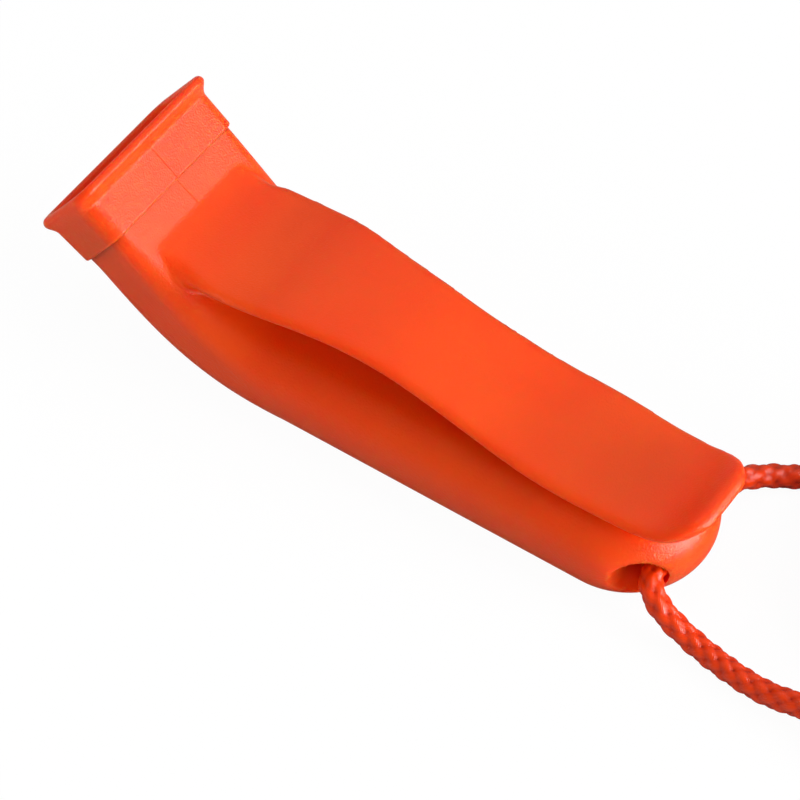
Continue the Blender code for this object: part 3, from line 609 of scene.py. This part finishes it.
def outer_shell(name, lead=0.0):
    """The barrel's outside: a bent neck, a straight run and a tail spun round its own centre."""
    rings = []
    for k in range(NECK_RINGS + 1):
        u = k / NECK_RINGS
        half_width = (NECK_WIDTH / 2) * (1 - u) + HALF_WIDTH * u
        corner = NECK_CORNER + (BODY_CORNER - NECK_CORNER) * u
        foot_corner = NECK_FOOT_CORNER + (BODY_CORNER - NECK_FOOT_CORNER) * u ** FOOT_CORNER_LEAD
        rings.append(ring_between(underside(u), top_line(u), half_width, corner, foot_corner))
    if lead:
        rings.insert(0, [p - MOUTH_AXIS * lead for p in rings[0]])
    rings.append([p + Vector((TAIL_X - LEVEL_START, 0, 0)) for p in rings[-1]])
    bm = bmesh.new()
    edges = skin(bm, rings)
    cap = [f for f in bm.faces if all(v.co.x > TAIL_X - TOUCHING for v in f.verts)]
    bmesh.ops.delete(bm, geom=cap, context="FACES_ONLY")
    half = [e for e in edges[-1] if max(v.co.y for v in e.verts) < TOUCHING]
    verts = list({v for e in half for v in e.verts})
    bmesh.ops.spin(bm, geom=verts + half, cent=(TAIL_X, 0, 0), axis=(0, 0, 1), angle=math.pi, steps=TAIL_STEPS)
    bmesh.ops.remove_doubles(bm, verts=bm.verts, dist=TOUCHING)
    return mesh_from(bm, name)


def back_line():
    """Side view of the valley from the neck up into the clip, and on along the clip's top."""
    start = NECK_HEAD + MOUTH_AXIS * ROOT_FROM_STEP - MOUTH_UP * CLEARANCE
    clip_top = [(x, BODY_HEIGHT + gap + CLIP_THICKNESS) for x, gap in CLIP_GAPS]
    end = Vector((clip_top[0][0] - CLEARANCE, 0, clip_top[0][1]))
    pulls = (start + MOUTH_AXIS * ROOT_NECK_PULL, end - Vector((ROOT_CLIP_PULL, 0, 0)))
    valley = [bezier(start, *pulls, end, u / 10) for u in range(9)]
    return [(p.x, p.z) for p in valley] + clip_top


def root_mesh(line):
    """The clip's root, which rises out of the neck as a valley."""
    rings = []
    start = line[0][0]
    for k in range(ROOT_RINGS + 1):
        x = start + (ROOT_END - start) * k / ROOT_RINGS
        foot = Vector((x, 0, neck_top_at(x) - ROOT_DEPTH))
        rings.append(strip_ring(foot, Vector((x, 0, read_line(line, x))), read_line(CLIP_HALF_WIDTHS, x),
                                read_line(ROOT_ROLLS, x), read_line(ROOT_ROLL_TURNS, x)))
    return loft("root", rings)


def tip_drop(before_tip):
    """How far the clip's top has rolled over, this far before the end of its tip."""
    rolled = math.sin(CLIP_ROLL_TURN) - before_tip / CLIP_ROLL
    return CLIP_ROLL * (1 - math.cos(math.asin(rolled))) if rolled > 0 else 0.0


def tongue_mesh(line, end=1.0):
    """The free tongue: a waisted strip that humps up, comes down near the tail and lifts at its rounded tip."""
    points = smooth_line([k for k in line if k[0] > TONGUE_LINE_START], TONGUE_STEP)
    points = points[points[:, 0] > TONGUE_START]
    tip = points[-1, 0]
    round_start = tip - CLIP_TIP_ROUND
    arc = [round_start + CLIP_TIP_ROUND * math.sin(math.radians(90 * k / TIP_STEPS))
           for k in range(1, TIP_STEPS + 1)]
    xs = np.concatenate([points[points[:, 0] < round_start, 0], [round_start], arc])
    rings = []
    for x in xs[xs < end]:
        before, height = (float(np.interp(at, points[:, 0], points[:, 1])) for at in (x - SLOPE_STEP, x))
        slope = Vector((SLOPE_STEP, 0, height - before)).normalized()
        head = Vector((x, 0, height))
        foot = head + Vector((slope.z, 0, -slope.x)) * CLIP_THICKNESS
        half_width = read_line(CLIP_HALF_WIDTHS, x)
        into = x - round_start
        if into > 0:
            half_width += math.sqrt(max(CLIP_TIP_ROUND ** 2 - into ** 2, 0)) - CLIP_TIP_ROUND
        head -= (head - foot).normalized() * tip_drop(tip - x)
        rings.append(strip_ring(foot, head, half_width, CLIP_ROLL, CLIP_ROLL_TURN))
    return loft("tongue", rings)


def gap_end_mesh(line):
    """What is cut from the root so that the gap under the clip narrows to a round end."""
    foot, head = [], []
    after = ROOT_END + GAP_OVERLAP
    for k in range(GAP_STEPS + 1):
        x = GAP_END + GAP_END_ROUND + (after - GAP_END - GAP_END_ROUND) * k / GAP_STEPS
        foot.append((x, neck_top_at(x) + GAP_LIFT))
        head.append((x, max(read_line(line, x) - CLIP_THICKNESS + GAP_BITE, foot[-1][1] + 2 * GAP_END_ROUND)))
    middle = (foot[0][1] + head[0][1]) / 2
    tall = (head[0][1] - foot[0][1]) / 2
    turn = [math.radians(180 * k / GAP_STEPS) for k in range(1, GAP_STEPS)]
    end = [(foot[0][0] - GAP_END_ROUND * math.sin(angle), middle - tall * math.cos(angle)) for angle in turn]
    return prism("gap_end", foot[::-1] + end + head, -FAR, FAR)


def eye_mesh():
    """The cross hole in the tail."""
    bm = bmesh.new()
    turn = Matrix.Translation((EYE_X, 0, EYE_HEIGHT)) @ Matrix.Rotation(math.pi / 2, 4, "X")
    bmesh.ops.create_cone(bm, cap_ends=True, segments=EYE_SIDES, radius1=EYE_DIAMETER / 2,
                          radius2=EYE_DIAMETER / 2, depth=2 * BODY_WIDTH, matrix=turn)
    return mesh_from(bm, "eye")


def bore_outline(reach, clearance):
    """Side view of the passage that the windway plug fills."""
    ceiling = SOCKET_HALF_HEIGHT - CLEARANCE - SPIGOT_WALL - clearance
    front = COLLAR_LENGTH - SPIGOT_LENGTH - CLEARANCE
    foot = -ceiling
    drop = (reach - COLLAR_LENGTH) * math.tan(WINDWAY_DROP)
    return [mouth_point(front, foot), mouth_point(COLLAR_LENGTH, foot), mouth_point(reach, foot - drop),
            mouth_point(reach, ceiling), mouth_point(front, ceiling)]


def chamber_outline(end_x):
    """Side view of a sound chamber, open below into the base plate's pocket."""
    floor = COVER_THICKNESS / 2
    lip_u = underside_at(WINDOW_START + WINDOW_LENGTH)
    bore = bore_outline(WINDOW_START, 0)
    points = [bore[3]]
    points += [inset(top_line, u / 10, TOP_WALL) for u in range(3, 11)]
    points += [Vector((end_x, 0, BODY_HEIGHT - TOP_WALL)), Vector((end_x, 0, floor))]
    points += [inset(underside, lip_u + (1 - lip_u) * u / 8, floor) for u in range(8, -1, -1)]
    points.append(bore[2])
    return points


def plate_outline(front, depth, end_x):
    """Side view of the strip along the underside that the base plate takes up."""
    front_u = underside_at(front)
    points = [inset(underside, front_u + (1 - front_u) * u / PLATE_STEPS, depth)
              for u in range(PLATE_STEPS + 1)]
    points += [Vector((end_x, 0, depth)), Vector((end_x, 0, -FAR))]
    return points + [Vector((-FAR / 3, 0, -FAR)), mouth_point(front, -FAR / 2)]


def sound_cutters():
    """The bore, the two chambers with their windows, and the pocket for the base plate."""
    bore = bore_outline(WINDOW_START + CLEARANCE, 0)
    bore[0] -= MOUTH_AXIS * SPIGOT_LENGTH
    bore[4] -= MOUTH_AXIS * SPIGOT_LENGTH
    cutters = [prism("bore", bore, -BORE_HALF_WIDTH, BORE_HALF_WIDTH)]
    for low, end_x in zip(CHAMBER_LOWS, (LONG_CHAMBER_END, SHORT_CHAMBER_END)):
        cutters.append(prism("chamber", chamber_outline(end_x), low, low + CHAMBER_WIDTH))
        window = [mouth_point(WINDOW_START, -FAR / 2), mouth_point(WINDOW_START + WINDOW_LENGTH, -FAR / 2),
                  mouth_point(WINDOW_START + WINDOW_LENGTH, 0), mouth_point(WINDOW_START, 0)]
        cutters.append(prism("window", window, low, low + CHAMBER_WIDTH))
    half = PLATE_HALF_WIDTH + WELD_GAP
    pocket = plate_outline(WINDOW_START + WINDOW_LENGTH - WELD_GAP, COVER_THICKNESS + WELD_GAP,
                           LONG_CHAMBER_END + COVER_LEDGE + WELD_GAP)
    cutters.append(prism("pocket", pocket, -half, half))
    return cutters


def spigot_mesh():
    """The end of the neck that the collar sits on."""
    half_width, half_height = SOCKET_HALF_WIDTH - WELD_GAP, SOCKET_HALF_HEIGHT - WELD_GAP
    return loft("spigot", [mouth_ring(along, half_width, half_height, NECK_CORNER, steps=4)
                           for along in (COLLAR_LENGTH - SPIGOT_LENGTH, COLLAR_LENGTH + SPIGOT_OVERLAP)])


def island(start):
    """This vertex and all that are joined to it."""
    seen, queue = {start}, [start]
    while queue:
        for edge in queue.pop().link_edges:
            for v in edge.verts:
                if v not in seen:
                    seen.add(v)
                    queue.append(v)
    return seen


def seam_key(place):
    """A place in whole micrometres."""
    return tuple(round(c * 1e6) for c in place)


def keep_seam_normals(mesh, seam):
    """Gives the seam's vertices the normals that they had before the parting."""
    normals = np.empty(len(mesh.loops) * 3, np.float32)
    mesh.corner_normals.foreach_get("vector", normals)
    normals = normals.reshape(-1, 3)
    for polygon in mesh.polygons:
        # The cap over the cut has many sides, and keeps its own
        if len(polygon.vertices) > 8:
            continue
        for loop in polygon.loop_indices:
            place = mesh.vertices[mesh.loops[loop].vertex_index].co
            if abs(place.x - SEAM_X) < TOUCHING:
                kept = seam.get(seam_key(place))
                if kept is not None:
                    normals[loop] = kept
    mesh.normals_split_custom_set(normals.tolist())


def parted(mesh, line, keep_tongue):
    """One side of the parting across the clip's root, and the seam's normals before the cut."""
    bm = bmesh.new()
    bm.from_mesh(mesh)
    above = (neck_top_at(SEAM_X) + read_line(line, SEAM_X) - CLIP_THICKNESS) / 2
    middles = [(f, f.calc_center_median()) for f in bm.faces]
    near = [f for f, middle in middles if abs(middle.x - SEAM_X) < SEAM_BAND and middle.z > above]
    geom = list({v for f in near for v in f.verts}) + list({e for f in near for e in f.edges}) + near
    cut = bmesh.ops.bisect_plane(bm, geom=geom, plane_co=(SEAM_X, 0, 0), plane_no=(1, 0, 0),
                                 dist=TOUCHING / 10)["geom_cut"]
    bm.normal_update()
    rim = [v for v in cut if isinstance(v, bmesh.types.BMVert)]
    for v in rim:
        v.co.x = SEAM_X
    seam = {seam_key(v.co): tuple(v.normal) for v in rim}
    bmesh.ops.split_edges(bm, edges=[e for e in cut if isinstance(e, bmesh.types.BMEdge)])
    tongue = island(max((v for v in bm.verts if v.co.z > above), key=lambda v: v.co.x))
    bmesh.ops.delete(bm, geom=[v for v in bm.verts if (v in tongue) != keep_tongue], context="VERTS")
    bmesh.ops.contextual_create(bm, geom=[e for e in bm.edges if e.is_boundary])
    return mesh_from(bm, mesh.name), seam


def make_moulding(orange):
    """The one moulding of barrel, neck and clip, parted across the clip's root into the barrel and a separate
    tongue.
    """
    line = back_line()
    stub = tongue_mesh(line, SEAM_X + SEAM_STUB)
    # The two sides are made apart, or the even mesh would join the tongue to the barrel where they are close
    shell_steps = [("UNION", [root_mesh(line)]), ("UNION", [stub]),
                   ("DIFFERENCE", [gap_end_mesh(line), eye_mesh()])]
    shell = carved(outer_shell("shell", SHELL_LEAD), shell_steps, VOXEL, SMOOTHING)
    strip_steps = [("UNION", [tongue_mesh(line)]), ("DIFFERENCE", [gap_end_mesh(line)])]
    strip = carved(root_mesh(line), strip_steps, VOXEL, SMOOTHING)
    body, body_seam = parted(shell, line, False)
    clip, clip_seam = parted(strip, line, True)
    trim_end = COLLAR_LENGTH - TRIM_OVERLAP
    trim = [mouth_point(a, u) for a, u in ((-FAR, -FAR), (trim_end, -FAR), (trim_end, FAR), (-FAR, FAR))]
    trim = prism("trim", trim, -FAR, FAR)
    body = carved(body, [("DIFFERENCE", [trim]), ("UNION", [spigot_mesh()]), ("DIFFERENCE", sound_cutters())])
    body.set_sharp_from_angle(angle=math.radians(32))
    keep_seam_normals(body, body_seam)
    add_piece("barrel_moulding", body, orange, ["body"])
    keep_seam_normals(clip, clip_seam)
    clip = add_piece("clip_tongue", clip, orange, ["clip"], body=None)
    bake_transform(clip)


def make_collar(orange):
    """The mouth collar with its rolled bite rim, its cove, and the fine step down to the neck."""
    half_width = NECK_WIDTH / 2 + STEP_HEIGHT
    half_height = NECK_HEIGHT / 2 + STEP_HEIGHT
    corner = NECK_CORNER + STEP_HEIGHT
    foot_corner = NECK_FOOT_CORNER + STEP_HEIGHT
    lip = RIM_THICKNESS / 2
    rim_width, rim_height = RIM_WIDTH / 2, RIM_HEIGHT / 2
    base = RIM_THICKNESS + COVE_LENGTH
    rings = []

    def add_rim_ring(along, inside, rim_corner):
        rings.append(mouth_ring(along, rim_width - inside, rim_height - inside, rim_corner))

    for angle in QUARTER_TURN:
        grow = EDGE_ROUND * (math.sin(angle) - 1)
        rings.append(mouth_ring(COLLAR_LENGTH - EDGE_ROUND * (1 - math.cos(angle)), half_width + grow,
                                half_height + grow, corner + grow, foot_corner + grow))
    base_width, base_height = half_width + COLLAR_TAPER, half_height + COLLAR_TAPER
    ends = ((base_width, rim_width), (base_height, rim_height), (corner, RIM_CORNER), (foot_corner, RIM_CORNER))
    for k in range(COVE_STEPS + 1):
        share = (1 - math.cos(math.pi * (k / COVE_STEPS) ** COVE_EASE)) / 2
        sizes = [start + (end - start) * share for start, end in ends]
        rings.append(mouth_ring(base + (lip - base) * k / COVE_STEPS, *sizes))
    for angle in QUARTER_TURN[1:]:
        inside = lip * (1 - math.cos(angle))
        add_rim_ring(lip * (1 - math.sin(angle)), inside, RIM_CORNER - inside)
    for angle in QUARTER_TURN[1:]:
        add_rim_ring(LIP_DOME * (1 - math.cos(angle)), lip + (MOUTH_OPENING_WALL - lip) * math.sin(angle),
                     RIM_CORNER - lip)
    shoulder = COLLAR_LENGTH - SPIGOT_LENGTH - CLEARANCE
    add_rim_ring(shoulder - THROAT_END, MOUTH_OPENING_WALL + THROAT_TAPER, RIM_CORNER - lip)
    rings.append(mouth_ring(shoulder - DRAFT, SOCKET_HALF_WIDTH - SPIGOT_WALL, SOCKET_HALF_HEIGHT - SPIGOT_WALL,
                            RIM_CORNER / 2))
    for along in (shoulder, COLLAR_LENGTH - DRAFT):
        rings.append(mouth_ring(along, SOCKET_HALF_WIDTH, SOCKET_HALF_HEIGHT, NECK_CORNER))
    mesh = loft("mouth_collar", rings, closed=True)
    piece = add_piece("mouth_collar", mesh, orange, ["mouthpiece"], crisp=40)
    # The large flat faces set the shading beside rounded edges
    piece.modifiers.new("even_flats", "WEIGHTED_NORMAL").keep_sharp = True


def make_windway_plug(orange):
    """The plug in the neck, with the two flat channels that lead the breath to the windows."""
    outline = bore_outline(WINDOW_START - CLEARANCE, WELD_GAP)
    half = BORE_HALF_WIDTH - WELD_GAP
    down = MOUTH_UP * -FAR
    channel = [p + MOUTH_UP * WINDWAY_HEIGHT for p in outline[:3]]
    channel[0] -= MOUTH_AXIS * CLEARANCE
    channel[2] += MOUTH_AXIS * CLEARANCE
    channel += [channel[2] + down, channel[0] + down]
    slots = [prism("windway", channel, low, low + half - BLOCK_RAIL - DIVIDER / 2)
             for low in (DIVIDER / 2, -half + BLOCK_RAIL)]
    plug = carved(prism("windway_plug", outline, -half, half), [("DIFFERENCE", slots)])
    plug = rounded(plug, BLOCK_EDGE_ROUND)
    add_piece("windway_plug", plug, orange, ["windway_block"], crisp=35)


def make_base_plate(orange):
    """The welded plate that closes the chambers, with the two lips that split the air at its front."""
    front = WINDOW_START + WINDOW_LENGTH
    outline = plate_outline(front, COVER_THICKNESS, LONG_CHAMBER_END + COVER_LEDGE)
    strip = prism("strip", outline, -PLATE_HALF_WIDTH, PLATE_HALF_WIDTH)
    skin_height = (underside(underside_at(front)) - RIM_CENTRE).dot(MOUTH_UP)
    edge = skin_height + COVER_THICKNESS - AIR_LIP_EDGE
    before, rise = AIR_LIP_LENGTH / 8, (edge - skin_height) / 8
    ramp = [mouth_point(front - before, edge + rise), mouth_point(front + AIR_LIP_LENGTH, skin_height),
            mouth_point(front + AIR_LIP_LENGTH, -FAR / 2), mouth_point(front - before, -FAR / 2)]
    ramps = [prism("ramp", ramp, low, low + CHAMBER_WIDTH) for low in CHAMBER_LOWS]
    plate = carved(outer_shell("base_plate"), [("INTERSECT", [strip]), ("DIFFERENCE", ramps)])
    add_piece("base_plate", plate, orange, ["base_cover"], crisp=25)


def frames_along(points):
    """Two directions across a line at each of its points, which don't twist along it."""
    tangents = np.gradient(points, axis=0)
    tangents /= np.linalg.norm(tangents, axis=1)[:, None]
    side = np.cross(tangents[0], (0, 0, 1.0))
    side /= np.linalg.norm(side)
    sides = [side]
    for t in tangents[1:]:
        side = side - t * (side @ t)
        side = side / np.linalg.norm(side)
        sides.append(side)
    sides = np.array(sides)
    return sides, np.cross(sides, tangents)


def braid(points, around, radius=CORD_RADIUS):
    """A round braid along a line of even steps, with how deep and how far across its strand each place is."""
    count = len(points)
    bm = bmesh.new()
    bmesh.ops.create_grid(bm, x_segments=around, y_segments=count - 1, size=0.5)
    mesh = bpy.data.meshes.new("braid")
    bm.to_mesh(mesh)
    bm.free()
    grid = np.empty(len(mesh.vertices) * 3, np.float32)
    mesh.vertices.foreach_get("co", grid)
    grid = grid.reshape(-1, 3)
    row = np.round((grid[:, 1] + 0.5) * (count - 1)).astype(int)
    angle = np.round((grid[:, 0] + 0.5) * around) / around * 2 * math.pi
    scale = radius / CORD_RADIUS
    length = row * np.linalg.norm(points[1] - points[0]) / (CROSSING * scale)
    length = length + sum(size * np.sin(length * rate + start) for size, rate, start in BRAID_DRIFTS)
    turn = STRANDS * angle / (2 * math.pi)
    heights, offsets = [], []
    for way in (1, -1):
        along, other = turn + way * length, turn - way * length
        strand = np.round(along)
        off = (along - strand) * STRAND_SPACING
        rise = way * STRAND_RISE * np.cos(math.pi * (strand + other))
        heights.append(rise + STRAND_THICKNESS * np.sqrt(np.clip(1 - (off / STRAND_HALF_WIDTH) ** 2, 0, 1)))
        offsets.append(off / STRAND_HALF_WIDTH)
    top = heights[0] > heights[1]
    height = np.where(top, *heights)
    peak = STRAND_RISE + STRAND_THICKNESS
    reach = radius - (peak - height) * scale
    sides, ups = frames_along(points)
    outward = sides[row] * np.cos(angle)[:, None] + ups[row] * np.sin(angle)[:, None]
    place = points[row] + outward * reach[:, None]
    mesh.vertices.foreach_set("co", place.astype(np.float32).ravel())
    # depth also sets the painted shade in the grooves of the braided_polyester material
    for name, values in (("depth", (peak - height) / peak), ("across", np.where(top, *offsets))):
        mesh.attributes.new(name, "FLOAT", "POINT").data.foreach_set("value", values.astype(np.float32))
    bm = bmesh.new()
    bm.from_mesh(mesh)
    bpy.data.meshes.remove(mesh)
    bmesh.ops.remove_doubles(bm, verts=bm.verts, dist=TOUCHING / 10)
    bmesh.ops.holes_fill(bm, edges=[e for e in bm.edges if e.is_boundary])
    return mesh_from(bm, "braid")


def lifted(route):
    return [(x, y, CORD_RADIUS + lift) for x, y, lift in route]


def coil_points():
    """Loops that spiral in along the table, climb a layer, and spiral out again on top."""
    turn = COIL_START_ANGLE - COIL_END_ANGLE + 2 * math.pi * COIL_TURNS
    count = round(turn / (2 * math.pi) * LOOP_POINTS)
    points = []
    for k in range(count + 1):
        gone = turn * k / count
        angle = COIL_START_ANGLE - gone
        radius = COIL_RADIUS - COIL_PITCH * min(gone, turn - gone) / (2 * math.pi)
        climb = min(max((gone - turn / 2) / math.pi + 0.5, 0), 1)
        climb = climb * climb * (3 - 2 * climb)
        off_tie = math.remainder(angle - TIE_ANGLE, 2 * math.pi)
        hump = (TIE_THICKNESS + CLEARANCE) * math.exp(-(off_tie / TIE_HUMP) ** 6)
        height = CORD_RADIUS + CLEARANCE / 3 + COIL_PITCH * climb + hump
        points.append((COIL_CENTRE[0] + radius * math.cos(angle), COIL_CENTRE[1] + radius * math.sin(angle),
                       height))
    return points


def add_cord(name, knots, step, around, replaced, polyester):
    """A braided cord from the eye to the knot."""
    points = smooth_line(knots, step)
    points[1:-1] = (points[:-2] + 2 * points[1:-1] + points[2:]) / 4
    piece = add_piece(name, braid(points, around), polyester, replaced)


def make_knot(polyester):
    """The knot that joins the loop's two ends: tight wraps of the same cord."""
    centre = np.array((KNOT_X, KNOT_Y, KNOT_HEIGHT))
    thick = KNOT_LENGTH / (KNOT_WRAPS + KNOT_SPREAD)
    reach = KNOT_DIAMETER / 2 - thick / 2
    turn = np.linspace(0, 2 * math.pi * (KNOT_WRAPS - KNOT_SHORT), KNOT_POINTS)
    along = np.linspace(-1, 1, KNOT_POINTS) * (KNOT_LENGTH - thick) / 2
    bulge = np.sqrt(np.clip(1 - (along / (KNOT_LENGTH / 2)) ** 4, 0, 1))
    grow = reach * (KNOT_END_SHARE + (1 - KNOT_END_SHARE) * bulge)
    wraps = np.stack([along, grow * np.cos(turn), grow * np.sin(turn)], axis=1)
    tuck_in = [(KNOT_LENGTH * a, reach * b, reach * c) for a, b, c in KNOT_TUCK_IN]
    tuck_out = [(KNOT_LENGTH * a, wraps[-1, 1] * b, wraps[-1, 2] * c) for a, b, c in KNOT_TUCK_OUT]
    knots = np.vstack([tuck_in, wraps[4:-4:6], tuck_out]) + centre
    mesh = braid(smooth_line(knots, KNOT_STEP), KNOT_SIDES, thick / 2)
    return add_piece("loop_knot", mesh, polyester, ["cord_knot"])


def make_tie(nylon):
    """The band round the coil's loops."""
    outward = Vector((math.cos(TIE_ANGLE), math.sin(TIE_ANGLE), 0))
    along = Vector((-outward.y, outward.x, 0))
    held = [Vector(p) - Vector((*COIL_CENTRE, 0)) for p in coil_points()]
    held = [p for p in held if abs(p.dot(along)) < TIE_WIDTH and p.dot(outward) > 0]
    across = CORD_RADIUS + CLEARANCE
    inner = min(p.dot(outward) for p in held) - across
    outer = max(p.to_2d().length for p in held) + across
    low = min(p.z for p in held) - across
    high = max(p.z for p in held) + across
    middle = Vector((*COIL_CENTRE, (low + high) / 2)) + outward * (inner + outer) / 2
    turn = Matrix((outward, along, (0, 0, 1))).transposed()
    rings = []
    brim = 1 - DRAFT / TIE_WIDTH
    for grow, side in ((0, -1), (0, 1), (TIE_THICKNESS, brim), (TIE_THICKNESS, -brim)):
        half_height = (high - low) / 2 + grow
        ring = ring_between(Vector((0, 0, -half_height)), Vector((0, 0, half_height)),
                            (outer - inner) / 2 + grow, CORD_RADIUS + grow, steps=8)
        rings.append([middle + along * side * TIE_WIDTH / 2 + turn @ Vector((p.y, 0, p.z)) for p in ring])
    mesh = rounded(loft("coil_tie", rings, closed=True), TIE_EDGE_ROUND)
    return add_piece("coil_tie_band", mesh, nylon, ["coil_tie"], crisp=50)


def make_cord(polyester, nylon):
    """The neck loop: two cords, the knot that they meet in, and the tie round the coil."""
    knot = make_knot(polyester)
    tie = make_tie(nylon)
    start_x, ends = EYE_X + EYE_CORD_SHIFT, (KNOT_LENGTH / 2, KNOT_MEETING)
    near = [(start_x, -CLEARANCE / 2, EYE_HEIGHT)] + lifted(NEAR_ROUTE)
    near += [(KNOT_X - end, KNOT_Y, KNOT_HEIGHT) for end in ends]
    far = [(start_x, CLEARANCE / 2, EYE_HEIGHT)] + lifted(FAR_ROUTE) + coil_points() + lifted(TAIL_ROUTE)
    far += [(KNOT_X + end, KNOT_Y, KNOT_HEIGHT) for end in ends]
    add_cord("cord_near", near, NEAR_STEP, NEAR_SIDES, ["cord_near_run"],
             polyester)
    add_cord("cord_loop", far, LOOP_STEP, LOOP_SIDES,
             ["cord_far_run", "cord_coil", "cord_tail_run"], polyester)


def add_lamp(name, size, power, place, target=(0, 0, 0.01), glints=True):
    """A soft lamp that faces the target."""
    lamp = bpy.data.lights.new(name, "AREA")
    lamp.shape = "RECTANGLE"
    lamp.size, lamp.size_y = size
    lamp.energy = power
    obj = bpy.data.objects.new(name, lamp)
    obj.visible_glossy = glints
    bpy.context.scene.collection.objects.link(obj)
    obj.location = place
    obj.rotation_euler = (Vector(target) - Vector(place)).to_track_quat("-Z", "Y").to_euler()


def make_studio():
    """A white table under soft light, and the camera as it was fitted to the photograph."""
    scene = bpy.context.scene
    scene.view_settings.view_transform = "Standard"
    camera = bpy.data.objects.new("camera", bpy.data.cameras.new("camera"))
    camera.data.lens = 165.06
    camera.data.sensor_width = 36
    camera.data.clip_start = 0.01
    camera.location = Vector((0.15598, -0.20758, 0.31364)) + SHIFT
    camera.rotation_euler = (math.radians(90 - 51.043), 0, math.radians(34.371))
    scene.collection.objects.link(camera)
    scene.camera = camera

    bm = bmesh.new()
    bmesh.ops.create_grid(bm, x_segments=1, y_segments=1, size=3)
    bmesh.ops.translate(bm, verts=bm.verts, vec=(0, 0, -0.00005))
    floor = bpy.data.objects.new("table", mesh_from(bm, "table"))
    scene.collection.objects.link(floor)
    # Matt white board, which the camera sees as bright as the photo's ground
    material, tree, shader = new_material("white_table")
    shader.inputs["Base Color"].default_value = linear("#A6A6A6")
    shader.inputs["Roughness"].default_value = 0.9
    seen = add_node(tree, "ShaderNodeLightPath").outputs["Is Camera Ray"]
    white = add_node(tree, "ShaderNodeEmission", {"Color": (1, 1, 1, 1), "Strength": 1.07})
    share = add_node(tree, "ShaderNodeMath", {"operation": "MULTIPLY", 1: 0.9}, _0=seen)
    mix = add_node(tree, "ShaderNodeMixShader", _0=share.outputs[0], _1=shader.outputs[0], _2=white.outputs[0])
    tree.links.new(mix.outputs[0], tree.nodes["Material Output"].inputs["Surface"])
    floor.data.materials.append(material)

    world = bpy.data.worlds.new("studio")
    scene.world = world
    world.use_nodes = True
    tree = world.node_tree
    around = tree.nodes["Background"]
    around.inputs["Color"].default_value = (1, 1, 1, 1)
    around.inputs["Strength"].default_value = 0.14
    seen = add_node(tree, "ShaderNodeLightPath").outputs["Is Camera Ray"]
    white = add_node(tree, "ShaderNodeBackground", {"Color": (1, 1, 1, 1), "Strength": 1.0})
    mix = add_node(tree, "ShaderNodeMixShader", _0=seen, _1=around.outputs[0], _2=white.outputs[0])
    tree.links.new(mix.outputs[0], tree.nodes["World Output"].inputs["Surface"])

    add_lamp("softbox_right", (0.50, 0.34), 3.1, (0.56, 0.27, 0.50))
    add_lamp("softbox_low_right", (0.44, 0.30), 2.7, (0.76, 0.00, 0.24))
    add_lamp("strip_right", (0.50, 0.14), 4.2, (0.76, 0.17, 0.08))
    add_lamp("fill_front", (0.60, 0.30), 1.6, (0.66, -0.40, 0.18), glints=False)
    add_lamp("fill_over", (0.40, 0.40), 0.9, (0.05, 0.02, 0.80), glints=False)
    add_lamp("card_behind", (0.50, 0.50), 0.33, (-0.218, 0.324, 0.482))
    add_lamp("fill_left", (0.14, 0.10), 0.27, (-0.20, -0.14, 0.10), (-0.03, 0, 0.015), glints=False)


orange = orange_polypropylene()
make_studio()
make_cord(braided_polyester(), woven_nylon())
make_moulding(orange)
make_collar(orange)
make_windway_plug(orange)
make_base_plate(orange)
